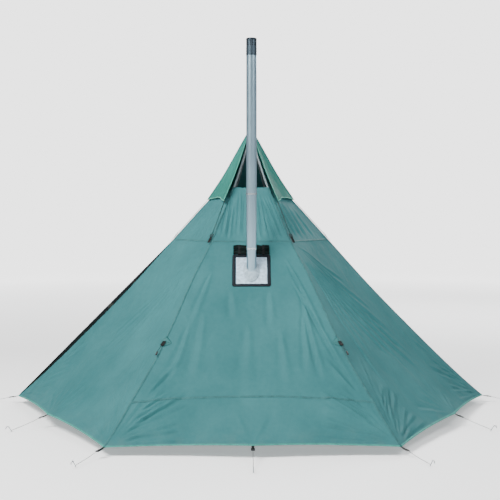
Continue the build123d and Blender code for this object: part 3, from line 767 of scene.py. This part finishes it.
# ---------------------------------------------------------------- strips that follow the cloth
def ribbon(name, rows, thickness):
    """A strip of cloth from rows of points; its UV runs 0 to 1 across and in metres along."""
    rows = np.array(rows)
    count, across = rows.shape[:2]
    middle = rows[:, across // 2]
    along = np.concatenate([[0], np.cumsum(np.linalg.norm(np.diff(middle, axis=0), axis=1))])
    share = np.linspace(0, 1, across)
    uv = np.stack(np.broadcast_arrays(share[None, :], along[:, None]), -1).reshape(-1, 2)
    return thicken(mesh_object(name, rows.reshape(-1, 3), grid_faces(count, across), uv), thickness, 0.0)


def join(name, objects):
    """One mesh from several, with their thickness made real."""
    graph = bpy.context.evaluated_depsgraph_get()
    graph.update()
    whole = bmesh.new()
    for obj in objects:
        made = bpy.data.meshes.new_from_object(obj.evaluated_get(graph))
        whole.from_mesh(made)
        bpy.data.meshes.remove(made)
    mesh = bpy.data.meshes.new(name)
    whole.to_mesh(mesh)
    whole.free()
    for obj in objects:
        bpy.data.objects.remove(obj)
    mesh.polygons.foreach_set("use_smooth", [True] * len(mesh.polygons))
    return in_scene(name, mesh)


def strips(name, all_rows, thickness, *finish):
    """A finished piece made of several strips of cloth."""
    return piece(join(name, [ribbon(name, rows, thickness) for rows in all_rows]), *finish)


def fly_points(angle, u, z):
    """Points of the fly at u along a side and the height z, below or above the shoulder."""
    low = wall_points(angle, u, np.clip(wall_t(z), 0, 1))
    high = upper_points(angle, u, np.maximum(z, SHOULDER_Z))
    return np.where((z <= SHOULDER_Z)[..., None], low, high)


def ridge_rows(angle, offsets, lift, levels):
    """Rows of points across a ridge of the fly, from one wall over to the next."""
    radius = ridge_radius(levels)
    slope = (ridge_radius(levels + 0.005) - ridge_radius(levels - 0.005)) / 0.01
    out = (radial(angle)[0] - slope[:, None] * UP_AXIS) / np.hypot(1, slope)[:, None]
    columns = []
    for offset in offsets:
        turn = 1 if offset < 0 else -1
        u = (1 - 2 * abs(offset) / np.maximum(radius, 0.02)) * turn
        points = fly_points((angle - turn * HALF) % 360, u[:, None], levels[:, None])[:, 0]
        edge = 1 - (abs(offset) / offsets[-1]) ** 4
        columns.append(points + out * (0.0004 + lift * edge))
    return np.stack(columns, axis=1)


def ridge_seams():
    """A felled seam down every ridge but the door's, where it starts at the shoulder."""
    made = []
    across = (-0.011, -0.0095, -0.005, 0, 0.005, 0.0095, 0.011)
    for angle in range(0, 360, STEP):
        top = SILL_Z if angle in FRONT_RIDGES else PEAK_Z - 0.05
        low = SHOULDER_Z + 0.001 if angle == DOOR_RIDGE else HEM_Z + 0.002
        made.append(ridge_rows(angle, across, 0.0016, np.linspace(low, top, 120)))
    strips("ridge_seams", made, 0.0008, "tent", SEAM, "fly_fabric")


def inner_tapes():
    """Sealing tape that lines the ridge seams from inside."""
    made = []
    for angle in range(0, 360, STEP):
        low = SHOULDER_Z + 0.01 if angle == DOOR_RIDGE else HEM_Z + 0.03
        rows = ridge_rows(angle, (-0.012, -0.006, 0, 0.006, 0.012), 0.0, np.linspace(low, 2.225, 110))
        made.append(rows - (radial(angle)[0] * 0.0022 + UP_AXIS * 0.0016))
    strips("seam_sealing_tapes", made, 0.0006, "tent", INNER_TAPE, "seam_tape", "seam_tapes")


def level_rows(angle, middle, width, us, lift):
    """Rows of points along a level seam of one wall, round the line of t = middle."""
    shares = np.array([-1, -0.85, 0, 0.85, 1])
    middle = np.broadcast_to(middle, us.shape)
    t = np.maximum(middle[:, None] + shares * width / 2 / SLOPE_LENGTH, 0)
    points = fly_points(angle, np.repeat(us[:, None], 5, axis=1), wall_z(t))
    return points + wall_normal(angle) * (0.0004 + lift * (1 - shares**4))[None, :, None]


def level_seams():
    """The shoulder seam all round, and the seam over the front side's hem band."""
    us = np.linspace(-0.99, 0.99, 120)
    made = [level_rows(angle, 1.002, 0.017, us, 0.0014) for angle in range(HALF, 360, STEP)]
    us = np.linspace(-0.99, 0.99, 320)
    made.append(level_rows(FRONT, 0.186 + 0.022 * (1 - us * us), 0.018, us, 0.0014))
    strips("level_seams", made, 0.0007, "tent", SEAM, "fly_fabric")


def hem_rows(angle, us):
    return level_rows(angle, 0.0032, 0.012, us, 0.0012)


def hem_fold():
    """A folded hem all round, but for the door's own."""
    made = []
    for angle in range(HALF, 360, STEP):
        made.append(hem_rows(angle, np.linspace(-1.0, -0.06 if angle == DOOR_SIDE else 1.0, 220)))
    strips("hem_fold", made, 0.0012, "tent", HEM, "fly_fabric")


ridge_seams()
inner_tapes()
level_seams()
hem_fold()


# ---------------------------------------------------------------- the door and its gusset
DOOR_LENGTH = math.hypot((HEM_R - SHOULDER_R) * COS_HALF, SHOULDER_Z - HEM_Z)
EDGE_SHARE = math.hypot(DOOR_LENGTH, (HEM_R - SHOULDER_R) / 2) / DOOR_LENGTH  # along the edge, per unit up


def door_radius(up):
    return HEM_R + (SHOULDER_R - HEM_R) * (up / DOOR_LENGTH)


def door_point(x, up):
    """A point of the door's plane: x along the side from its middle, up the slope from the hem."""
    out, side = radial(DOOR_SIDE)
    return door_radius(up) * COS_HALF * out + x * side + wall_z(up / DOOR_LENGTH) * UP_AXIS


def beside_door_ridge(offset, up):
    """The point at the offset from the door ridge."""
    return door_point(door_radius(up) / 2 - offset * EDGE_SHARE, up)


def hinge_blend(obj):
    """Bake the piece's placement into its mesh; the ends of the cloth beside the hinge line are worked out
    but nothing is made to turn.
    """
    start, end = (door_point(x, 0.9) for x in (-HINGE_CLOTH, HINGE_CLOTH))
    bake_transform(obj)
    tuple(start)
    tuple(end)


def door_cloth():
    rows, columns = 120, 46
    s, t = np.meshgrid(np.linspace(0, 1, columns), np.linspace(0, 1 - 0.004 / DOOR_LENGTH, rows))
    start = door_line(t)
    end = 1 - 2 * TAPE_INNER * EDGE_SHARE / straight_radius(wall_z(t))
    u = start + s * (end - start)
    points = wall_points(DOOR_SIDE, u, t)
    uv = np.stack([u * (1 - NARROWING * t) + 2 * SIDE_U, t * SLOPE_LENGTH], -1).reshape(-1, 2)
    cloth = mesh_object("door_cloth", points.reshape(-1, 3), grid_faces(rows, columns), uv)
    face_outward(cloth)
    solid = piece(join("door_cloth", [thicken(cloth, CLOTH)]), None, FLY, "fly_fabric", "door_flap")
    hinge_blend(solid)


def zip_gusset():
    """The gusset cloth that fills the crescent between the drawn-in ridge and the straight zip, given the
    zip tape's near black as painted shade along the zip.
    """
    rows = []
    for z in np.linspace(HEM_Z + 0.001, SHOULDER_Z - 0.002, 120):
        inner = float(ridge_radius(z)) - 0.002
        outer = max(straight_radius(z) - 0.0005, inner + 0.001)
        ripple = 0.0016 * math.sin(z * 46) + 0.001 * math.sin(z * 83 + 1)
        shares = np.linspace(0, 1, 7)
        places = [(inner + (outer - inner) * s, ripple * math.sin(math.pi * s) + 0.0008) for s in shares]
        rows.append([[-radius, -shift, z] for radius, shift in places])
    # The near-black zip tape look on the gusset is painted shade.
    gusset = strips("zip_gusset_painted_shade_cloth", [rows], 0.0009, "tent", ZIP_TAPE, "zip_tape", "zip_gusset")


def zip_binding():
    """Dark binding along the zip edge, folded from the gusset on to the door's plane."""
    rows = []
    out = wall_normal(DOOR_SIDE)
    for up in np.linspace(0.002, DOOR_LENGTH - 0.004, 110):
        edge = beside_door_ridge(0, up)
        face = beside_door_ridge(0.0052, up) + out * 0.0004
        folded = [edge + np.array([0.009, 0.0015, 0.0]), edge + np.array([-0.0008, -0.0008, 0.0005])]
        rows.append([*folded, edge + out * 0.0008, face])
    strips("zip_edge_binding", [rows], 0.0009, "tent", BORDER, "zip_tape")


def door_hem():
    """The door's hem fold."""
    rows = hem_rows(DOOR_SIDE, np.linspace(-0.055, 0.965, 90))
    hinge_blend(strips("door_hem_fold", [rows], 0.0012, None, HEM, "fly_fabric"))


def door_binding():
    """The binding beside the door's zip tape."""
    rows = []
    profile = ((0.020, 0.0006), (0.024, 0.0018), (0.030, 0.0018), (0.036, 0.0004))
    for up in np.linspace(0.004, DOOR_LENGTH - 0.006, 90):
        rows.append([beside_door_ridge(d, up) + wall_normal(DOOR_SIDE) * lift for d, lift in profile])
    strips("door_edge_fold", [rows], 0.0008, "door", HEM, "fly_fabric")


door_cloth()
zip_gusset()
zip_binding()
door_hem()
door_binding()


# ---------------------------------------------------------------- the hood
HOOD_TOP = 2.350


def hood_normal(angle):
    return 0.8 * radial(angle)[0] + 0.5 * UP_AXIS


def hood_points(angle, u, s):
    """The hood over one side: u between its ridges, s from 0 at its lower edge to 1 at the peak."""
    out, side = radial(angle)
    front_edge = (angle == FRONT - STEP) * smoothstep(u) + (angle == FRONT + STEP) * smoothstep(-u)
    low = HOOD_Z + 0.020 * (1 - u**2) - 0.012 * front_edge
    z = low + (HOOD_TOP - low) * s
    radius = hood_radius(np.clip(z, HOOD_LINE[0][1], HOOD_TOP))
    radius = radius + (HOOD_FRONT - HOOD_LINE[0][0]) * front_edge * (1 - s) ** 1.5
    belly = 0.010 * (1 - u**2) * np.sin(np.pi * np.clip(s, 0, 1) ** 0.7)
    ripple = 0.0014 * crinkle(u * radius, s * 0.7, angle + 31, 0.09) * (1 - np.abs(u) ** 8)
    flutter = 0.003 * np.sin(u * 9 + angle) * (1 - s) ** 6 * (1 - u**2)
    middle = (radius * COS_HALF)[..., None] * out + (u * radius / 2)[..., None] * side
    return middle + z[..., None] * UP_AXIS + (ripple + flutter - belly)[..., None] * hood_normal(angle)


def hood_width(s):
    """Radius of the hood's ridges at a share of its height, for widths across them."""
    return hood_radius(np.minimum(HOOD_TOP, HOOD_Z + (HOOD_TOP - HOOD_Z) * s)).clip(0.03)


def hood_cloth():
    store = new_store()
    for number, angle in enumerate(PEAK_SIDES):
        u, s = np.meshgrid(np.linspace(-1, 1, 41), np.linspace(0, 1, 44))
        add_block(store, hood_points(angle, u, s), (u * 0.19 * (1 - s) + number * 0.5, s * 0.72))
    hood = piece(cloth_from("hood_cloth", store), "tent", HOOD, "hood_fabric", "hood")


def hood_edges():
    """Light tape on the hood's lower edge and down both sides of its mouth."""
    made = []
    shares = np.array([-1, -0.8, 0, 0.8, 1])
    for angle in PEAK_SIDES:
        u, s = np.meshgrid(np.linspace(-1, 1, 50), np.linspace(-0.002, 0.011, 5), indexing="ij")
        lift = 0.0005 + 0.0012 * (1 - shares**4)
        made.append(hood_points(angle, u, s) + hood_normal(angle) * lift[:, None])
    widths = np.array([0.0, 0.001, 0.0035, 0.006, 0.007])
    lift = np.array([0.0004, 0.0016, 0.0018, 0.0014, 0.0004])
    for angle, sign in ((FRONT - STEP, 1), (FRONT + STEP, -1)):
        s = np.repeat(np.linspace(0, 0.985, 70)[:, None], 5, axis=1)
        points = hood_points(angle, sign * (1 - 2 * widths / hood_width(s)), s)
        made.append(points + hood_normal(angle) * lift[:, None])
    strips("hood_edge_tape", made, 0.0012, "tent", EDGE, "edge_tape", "hood_binding")


def hood_seams():
    made = []
    s = np.linspace(0.02, 0.97, 60)
    for corner in (0, 60, 120, 180):
        columns = []
        for offset in (-0.009, -0.0075, 0.0, 0.0075, 0.009):
            turn = 1 if offset <= 0 else -1
            u = (1 - 2 * abs(offset) / hood_width(s)) * turn
            lift = 0.0004 + 0.0014 * (1 - (offset / 0.009) ** 4)
            points = hood_points((corner - turn * HALF) % 360, u, s)
            columns.append(points + hood_normal(corner) * lift)
        made.append(np.stack(columns, axis=1))
    strips("hood_ridge_seams", made, 0.0008, "tent", SEAM, "hood_fabric")


hood_cloth()
hood_edges()
hood_seams()


# ---------------------------------------------------------------- webbing
def line_frame(angle, start, end):
    """Origin, the way along and the way up of a line in a ridge's upright plane, and its length."""
    out = radial(angle)[0]
    run, rise = end[0] - start[0], end[1] - start[1]
    length = math.hypot(run, rise)
    along = (run * out + rise * UP_AXIS) / length
    up = (-rise * out + run * UP_AXIS) / length * (1 if run > 0 else -1)
    return start[0] * out + start[1] * UP_AXIS, along, up, length


def smooth_path(points, count):
    """Evenly spaced points on a smooth curve through the given ones."""
    points = np.array(points, float)
    padded = np.vstack([2 * points[0] - points[1], points, 2 * points[-1] - points[-2]])
    dense = []
    for i in range(len(points) - 1):
        p0, p1, p2, p3 = padded[i : i + 4]
        bend, twist = 2 * p0 - 5 * p1 + 4 * p2 - p3, 3 * p1 - p0 - 3 * p2 + p3
        for t in np.linspace(0, 1, 16, endpoint=False):
            dense.append(0.5 * (2 * p1 + (p2 - p0) * t + bend * t**2 + twist * t**3))
    dense = np.array([*dense, points[-1]])
    steps = np.concatenate([[0], np.cumsum(np.linalg.norm(np.diff(dense, axis=0), axis=1))])
    even = np.linspace(0, steps[-1], count)
    return np.stack([np.interp(even, steps, column) for column in dense.T], -1)


def webbing(angle, start, end, profile, width=0.020):
    """Webbing laid through profile points, given as distance along the line and height above it."""
    origin, along, up, _ = line_frame(angle, start, end)
    side = radial(angle)[1]
    rows = []
    for distance, height in smooth_path(profile, 44):
        centre = origin + along * distance + up * height
        rows.append([centre + side * (k * width / 2) for k in (-1, -0.9, 0, 0.9, 1)])
    return ribbon("webbing", rows, 0.0016)


PEG_Z = 0.012  # height of the cord at a peg


def anchor(index):
    """Angle, pull point and peg point of one ground tie-down, in metres."""
    angle = index * HALF
    if index % 2 == 0:
        return angle, (HEM_R, HEM_Z), (2.290, PEG_Z)
    pull = (HEM_R * COS_HALF + PULL_OUT, HEM_Z + hem_rise(angle))
    return angle, pull, (pull[0] + (0.334 if angle == FRONT else 0.284), PEG_Z)


ANCHORS = [anchor(index) for index in range(2 * SIDES)]
HOOD_START, HOOD_END = (0.676, 1.407), (0.378, 1.739)
HEM_STRAP, HOOD_STRAP = 0.042, 0.046  # strap lengths up to the buckle's bar
AFTER_BAR = 0.0012 + 0.030 + 0.0003  # from there to the cord: gap, buckle, gap
AROUND_BAR = [  # the end of a strap, over a buckle's bar and back under it
    (-0.004, 0.0012),
    (0.0005, 0.0046),
    (0.0035, 0.0054),
    (0.0058, 0.0035),
    (0.0052, -0.0006),
    (0.001, -0.0018),
    (-0.012, -0.0014),
    (-0.024, -0.0010),
]


def strap(angle, start, end, lead, length):
    """A strap from its sewn lead to the buckle's bar at the length."""
    return webbing(angle, start, end, lead + [(length + x, y) for x, y in AROUND_BAR])


def straps():
    hem_lead = [(-0.030, 0.004), (-0.010, 0.0012), (0.012, 0.0008), (0.026, 0.0010)]
    hood_lead = [(-0.012, 0.0005), (0.004, 0.0010), (0.022, 0.0016)]
    made = [strap(angle, pull, peg, hem_lead, HEM_STRAP) for angle, pull, peg in ANCHORS]
    for angle in range(0, 360, STEP):
        made.append(strap(angle, HOOD_START, HOOD_END, hood_lead, HOOD_STRAP))
    piece(join("webbing_straps", made), "tent", WEBBING, "webbing", "tie_straps")


straps()


# ---------------------------------------------------------------- cords
CORD_R = 0.0016


def cord(name, points, node, slot, end=None, **declared):
    """A free limp cord on the tent; what is declared about it is not used, and end makes a piece at its
    tip.
    """
    curve = bpy.data.curves.new(name, "CURVE")
    curve.dimensions = "3D"
    curve.bevel_depth = CORD_R
    curve.bevel_resolution = 3
    curve.resolution_u = 6
    spline = curve.splines.new("NURBS")
    spline.points.add(len(points) - 1)
    for target, point in zip(spline.points, points):
        target.co = (*point, 1.0)
    spline.order_u = 3
    spline.use_endpoint_u = True
    curve.materials.append(GUY)
    obj = in_scene(name, curve)
    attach(obj, "tent")
    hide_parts(node)
    if end:
        declared["with_pieces"] = [end()]
    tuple(points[0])


def ground_cord(number, angle, pull, peg):
    """A taut cord from a hem buckle to its peg, sagging a little."""
    origin, along, up, length = line_frame(angle, pull, (peg[0] - 0.0044, peg[1]))
    first = HEM_STRAP + AFTER_BAR
    points = []
    for s in np.linspace(0, 1, 14):
        sag = 0.0035 * 4 * s * (1 - s)
        points.append(origin + along * (first + (length - first) * s) + up * (0.002 - sag))
    cord(f"ground_cord_{number}", points, "ground_cords", "guy_cord", far_end="object", lay="taut")


def hood_cord(corner, leg, sideways):
    """One leg of the taut cord from a hood buckle up to the hood's corner."""
    angle = corner * STEP
    origin, along, up, _ = line_frame(angle, HOOD_START, HOOD_END)
    out, side = radial(angle)
    begin = origin + along * (HOOD_STRAP + AFTER_BAR) + up * 0.002 + side * sideways
    end_r, end_z = (HOOD_FRONT - 0.006, HOOD_Z - 0.010) if angle in FRONT_RIDGES else HOOD_END
    end = out * end_r + UP_AXIS * end_z + side * sideways * 0.5
    points = []
    for s in np.linspace(0, 1, 12):
        sag = 0.002 * 4 * s * (1 - s) * (1 if leg else 0.4)
        points.append(begin + (end - begin) * s - up * sag)
    name = f"hood_cord_{corner + 1}_{leg + 1}"
    cord(name, points, "hood_cords", "tie_cord", far_end="object", lay="taut")


def lathe_faces(rings, sides):
    """Faces between rings of points."""
    corners = [(j * sides, k, (k + 1) % sides) for j in range(rings - 1) for k in range(sides)]
    return [(j + k, j + n, j + sides + n, j + sides + k) for j, k, n in corners]


def turned(name, base, way, profile, sides=20):
    """A round piece from a profile of distance along and radius, set on base and pointing way."""
    way = way / np.linalg.norm(way)
    a = np.cross(way, UP_AXIS)
    a /= np.linalg.norm(a)
    b = np.cross(way, a)
    points = []
    for distance, radius in profile:
        for k in range(sides):
            turn = 2 * math.pi * k / sides
            points.append(base + way * distance + radius * (math.cos(turn) * a + math.sin(turn) * b))
    ends = [tuple(reversed(range(sides))), tuple(range(len(points) - sides, len(points)))]
    return mesh_object(name, points, lathe_faces(len(profile), sides) + ends)


GUY_RIDGES = (60, 120, 240, 300)
GUY_POINT = (1.3372, 0.690)
GUY_ROUTE = [(0.036, -0.0225), (0.050, -0.030), (0.062, -0.042), (0.077, -0.048), (0.088, -0.060)]
GUY_END = [  # the moulded end: distance along and radius
    (-0.002, 0.0026),
    (0.0, 0.0052),
    (0.004, 0.0070),
    (0.012, 0.0058),
    (0.017, 0.0070),
    (0.028, 0.0068),
    (0.0315, 0.0050),
    (0.032, 0.0022),
]


def guy_shift(angle):
    """How far the ridge is drawn in where the guy-out is sewn on."""
    if angle not in FRONT_RIDGES:
        return Vector((0, 0, 0))
    return Vector(((1 if angle == 240 else -1) * float(front_shift(GUY_POINT[1])), 0, 0))


def guy_cord(number, angle):
    """The short cord of one guy-out point, with a moulded end."""
    flat = smooth_path([(GUY_POINT[0] + r, GUY_POINT[1] + z) for r, z in GUY_ROUTE], 14)
    points = [r * radial(angle)[0] + np.array(guy_shift(angle)) + z * UP_AXIS for r, z in flat]

    def end():
        made = turned(f"guyout_end_{number}", points[-1], points[-1] - points[-2], GUY_END)
        return piece(made, "tent", BLACK, "guy_cord")

    name = f"guyout_cord_{number}"
    cord(name, points, "guyout_cords", "guy_cord", end, far_end="fitting", lay="hanging")


def guy_patches():
    """Doubled triangles of cloth over a ridge, each with a webbing tab."""
    made, tabs = [], []
    start = (GUY_POINT[0] + 0.0025, GUY_POINT[1])
    end = (start[0] + 0.031, start[1] - 0.022)
    profile = [(-0.006, 0.0015), (0.004, 0.0008), (0.020, 0.0004), (0.032, 0.0010), (0.0372, 0.0002)]
    profile += [(0.0366, -0.0030), (0.030, -0.0034), (0.010, -0.0022)]
    for ridge in GUY_RIDGES:
        for turn in (-1, 1):
            side = (ridge + turn * HALF) % 360
            rows = []
            for share in np.linspace(0, 1, 14):
                half = 0.036 * (1 - 0.75 * share)
                z = GUY_POINT[1] + np.linspace(-half - 0.006 * share, half - 0.018 * share, 7)
                u = -turn * (1 - 2 * 0.062 * share / ridge_radius(z))
                rows.append(wall_points(side, u[None], wall_t(z)[None])[0] + wall_normal(side) * 0.0026)
            made.append(rows)
        tab = webbing(ridge, start, end, profile, 0.030)
        tab.data.transform(Matrix.Translation(guy_shift(ridge)))
        tabs.append(tab)
    piece(join("guyout_tabs", tabs), "tent", WEBBING, "webbing")
    strips("guyout_patch_cloth", made, 0.0012, "tent", PATCH, "fly_fabric", "guyout_patches")


for number, tie_down in enumerate(ANCHORS, 1):
    ground_cord(number, *tie_down)
for corner in range(SIDES):
    for leg, sideways in enumerate((-0.0035, 0.0035)):
        hood_cord(corner, leg, sideways)
for number, angle in enumerate(GUY_RIDGES, 1):
    guy_cord(number, angle)
guy_patches()


# ---------------------------------------------------------------- the stove jack
def jack_point(x, up, out):
    """A point on the jack's plane: x to the right, up the slope, out of the tent."""
    c, s = math.cos(JACK_SLOPE), math.sin(JACK_SLOPE)
    return np.array([x, -JACK_R + up * c - out * s, JACK_Z + up * s + out * c])


def from_pipe(x, up):
    """Distance of a point on the jack's plane from the pipe's axis."""
    return math.hypot(x, up * math.sin(JACK_SLOPE))


def ring_path(half_x, half_up, corner):
    """A rounded rectangle as points and outward directions, counter-clockwise."""
    path = []
    for turn_x, turn_up, first in ((1, 1, 0), (-1, 1, 90), (-1, -1, 180), (1, -1, 270)):
        for k in range(7):
            a = math.radians(first + 90 * k / 6)
            c, s = math.cos(a), math.sin(a)
            x, up = turn_x * (half_x - corner), turn_up * (half_up - corner)
            path.append((x + corner * c, up + corner * s, c, s))
    return np.array(path + [path[0]])


def jack_border():
    """The dark border, a bound frame that stands a little proud of the cloth."""
    corners = ring_path(0.136, 0.138, 0.004)
    shares = np.linspace(0, 1, 7, endpoint=False)
    dense = [a + (b - a) * s for a, b in zip(corners, corners[1:]) for s in shares]
    profile = ((-1, 0.0010), (-0.88, 0.0030), (0, 0.0032), (0.88, 0.0030), (1, 0.0006))
    rows = []
    for x, up, nx, ny in [*dense, corners[0]]:
        wave = 0.0007 * math.sin(31 * x + 17 * up) + 0.0006 * math.sin(70 * up - 20 * x)
        row = [(x + nx * k * 0.0139, up + 0.004 + ny * k * 0.0125, lift + wave) for k, lift in profile]
        rows.append([jack_point(*point) for point in row])
    piece(ribbon("jack_border_cloth", rows, 0.0010), "tent", BORDER, "jack_border", "jack_border")


def jack_sheet():
    """The pale heat cloth, with the hole the pipe goes through."""
    xs, ups = np.linspace(-0.126, 0.126, 84), np.linspace(-0.130, 0.138, 90)
    uv = [(x, up) for up in ups for x in xs]
    points = []
    for x, up in uv:
        cone = 0.010 * math.exp(-max(0, from_pipe(x, up) - 0.040) / 0.020)
        crinkled = 0.0012 * noise.noise(Vector((x * 22, up * 22, 3)))
        points.append(jack_point(x, up, cone - 0.0022 + crinkled))
    faces = grid_faces(len(ups), len(xs))
    faces = [face for face in faces if from_pipe(*np.mean([uv[i] for i in face], axis=0)) > 0.0405]
    sheet = thicken(mesh_object("jack_sheet_cloth", points, faces, uv), 0.0012, 0.0)
    piece(sheet, "tent", GLASS, "jack_sheet", "jack_sheet")


def jack_collar():
    """The cuff that spreads from the pipe down on to the sheet."""
    rows = []
    for k in range(73):
        turn = 2 * math.pi * k / 72
        x, y = math.cos(turn), math.sin(turn)
        row = []
        for share in np.linspace(0, 1, 11):
            fold = 0.0014 * math.sin(8 * turn + 1) * math.sin(math.pi * share)
            radius = 0.0402 + 0.024 * (1 - share) ** 1.5 + fold
            z = JACK_Z + radius * y * math.tan(JACK_SLOPE) + 0.001 + 0.046 * share
            row.append([radius * x, -JACK_R + radius * y, z])
        rows.append(row)
    collar = piece(ribbon("jack_collar_cloth", rows, 0.0012), "tent", CUFF, "jack_sheet", "jack_collar")


def jack_flap():
    """The rain flap, rolled into two folds above the jack and tied by two tapes."""
    made = []
    for fold, (middle, half_u, half_h) in enumerate(((0.176, 0.021, 0.0080), (0.220, 0.020, 0.0075))):
        rows = []
        for x in np.linspace(-0.1415, 0.1415, 80):
            pinch = 1 - 0.16 * (bump(x - 0.095, 0.014) + bump(x + 0.095, 0.014))
            sway = 0.006 * noise.noise(Vector((x * 14, fold * 5.1, 0)))
            row = []
            for k in range(19):
                a = 2 * math.pi * k / 18
                rough = 1 + 0.22 * noise.noise(Vector((x * 30, a * 1.3, fold * 9)))
                up = middle + sway + half_u * math.cos(a) * rough
                out = 0.0085 + half_h * math.sin(a) * pinch * rough
                row.append(jack_point(x, up, max(out, 0.0006)))
            rows.append(row)
        made.append(rows)
        for end in (rows[0], rows[-1]):
            centre = np.mean(end[:-1], axis=0)
            spiral = [[centre + (p - centre) * share for share in (0, 0.35, 0.7, 1)] for p in end]
            made.append(spiral)
    strips("jack_flap_roll", made, 0.0010, "tent", FLAP, "jack_flap", "jack_flap")
    outline = [(0.150, 0.001), (0.154, 0.012), (0.166, 0.0172), (0.184, 0.0172), (0.198, 0.0145)]
    outline += [(0.212, 0.0165), (0.230, 0.0165), (0.242, 0.012), (0.246, 0.001)]
    path = smooth_path(outline, 36)
    ties = []
    for x in (-0.095, 0.095):
        across = [x + k * 0.009 for k in (-1, -0.9, 0, 0.9, 1)]
        ties.append([[jack_point(place, up, out + 0.0006) for place in across] for up, out in path])
    strips("jack_flap_ties", ties, 0.0010, "tent", WEBBING, "jack_flap")


def arrestor_gauze():
    """The sooty gauze that lines the holes of the spark arrestor, 3.2 mm inside its wall."""
    low, high = (Vector(corner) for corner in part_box("arrestor_mesh"))
    centre = (low + high) / 2
    radius = (high.x - low.x) / 2 - 0.0032
    turns = np.linspace(0, 2 * math.pi, 49)
    ring = [(centre.x + radius * math.cos(a), centre.y + radius * math.sin(a)) for a in turns]
    rows = [[[x, y, z] for x, y in ring] for z in np.linspace(low.z + 0.028, high.z - 0.003, 12)]
    strips("arrestor_gauze", [rows], 0.0004, "arrestor", GAUZE, "stainless")


jack_border()
jack_sheet()
jack_collar()
jack_flap()
arrestor_gauze()


# ---------------------------------------------------------------- camera, light, floor
def camera():
    data = bpy.data.cameras.new("camera")
    data.lens = 65.64
    data.sensor_width = 36
    data.shift_x, data.shift_y = -0.0014, -0.0748
    data.clip_end = 200
    obj = in_scene("camera", data)
    obj.location = (-0.063, -7.853, 1.638)
    obj.rotation_euler = (math.radians(90), 0, math.radians(-0.46))
    bpy.context.scene.camera = obj


def area_light(name, where, aim, size, power, colour=(1, 1, 1)):
    data = bpy.data.lights.new(name, "AREA")
    data.size = size
    data.energy = power
    data.color = colour
    obj = in_scene(name, data)
    obj.location = where
    obj.rotation_euler = (Vector(aim) - Vector(where)).to_track_quat("-Z", "Y").to_euler()


def surroundings():
    world = bpy.data.worlds.new("studio")
    world.use_nodes = True
    background = world.node_tree.nodes["Background"].inputs
    background["Color"].default_value = (0.92, 0.96, 1.0, 1)
    background["Strength"].default_value = 0.32
    bpy.context.scene.world = world
    area_light("key", (-4.6, -4.6, 7.2), (0, 0, 0.9), 3.6, 1560, (1.0, 0.99, 0.97))
    area_light("fill", (3.2, -3.6, 5.2), (0.5, -0.5, 1.4), 2, 185)
    area_light("rim", (3.5, 6.5, 6.0), (0, 0, 1.0), 4, 620)


FLOOR_REACH = 24.0
DOME_R = 60.0
STAGE_GLOW = 3.0  # light of the backdrop, which the floor comes up to at its rim
WHITE, BLACKENED = (1, 1, 1, 1), (0, 0, 0, 1)


def stage_surface(name, profile, material, sides=96):
    """A stage surface from a profile of radius and height, turned about the tent's axis."""
    points = []
    for radius, z in profile:
        for k in range(sides):
            turn = 2 * math.pi * k / sides
            points.append((radius * math.cos(turn), radius * math.sin(turn), z))
    faces = [face[::-1] for face in lathe_faces(len(profile), sides)] + [tuple(range(sides))]
    obj = paint(mesh_object(name, points, faces), material)
    return obj


def floor():
    """A pale round floor that brightens towards its rim."""
    look = Look("studio floor")
    where = look.place("Object")
    x, y, _ = where.split()
    reach = (x * x + y * y).maths("SQRT")
    near = where.cloud(40.0).mix((0.88, 0.885, 0.89, 1), (0.93, 0.935, 0.94, 1))
    inputs = {
        "Base Color": reach.spread(9.0, 18.0, 0.0, 1.0).mix(near, (0.02, 0.02, 0.02, 1)),
        "Emission Color": WHITE,
        "Emission Strength": reach.spread(4.0, 15.0, 0.45, STAGE_GLOW),
        "Roughness": 0.9,
    }
    stage_surface("floor", [(0.5, 0), (3, 0), (9, 0), (FLOOR_REACH, 0)], look.shade(inputs))


def backdrop():
    """A white dome all round the stage, which only the camera sees."""
    inputs = {"Base Color": BLACKENED, "Specular IOR Level": 0.0}
    inputs |= {"Emission Color": WHITE, "Emission Strength": STAGE_GLOW}
    profile = [(FLOOR_REACH - 0.5, -0.02), (DOME_R, -0.02)]
    for turn in np.linspace(0, math.pi / 2, 24)[1:]:
        profile.append((DOME_R * math.cos(turn) + 0.01, DOME_R * math.sin(turn)))
    dome = stage_surface("backdrop", profile, Look("studio backdrop").shade(inputs))
    dome.visible_diffuse = dome.visible_glossy = False
    dome.visible_transmission = dome.visible_shadow = False


camera()
surroundings()
floor()
backdrop()
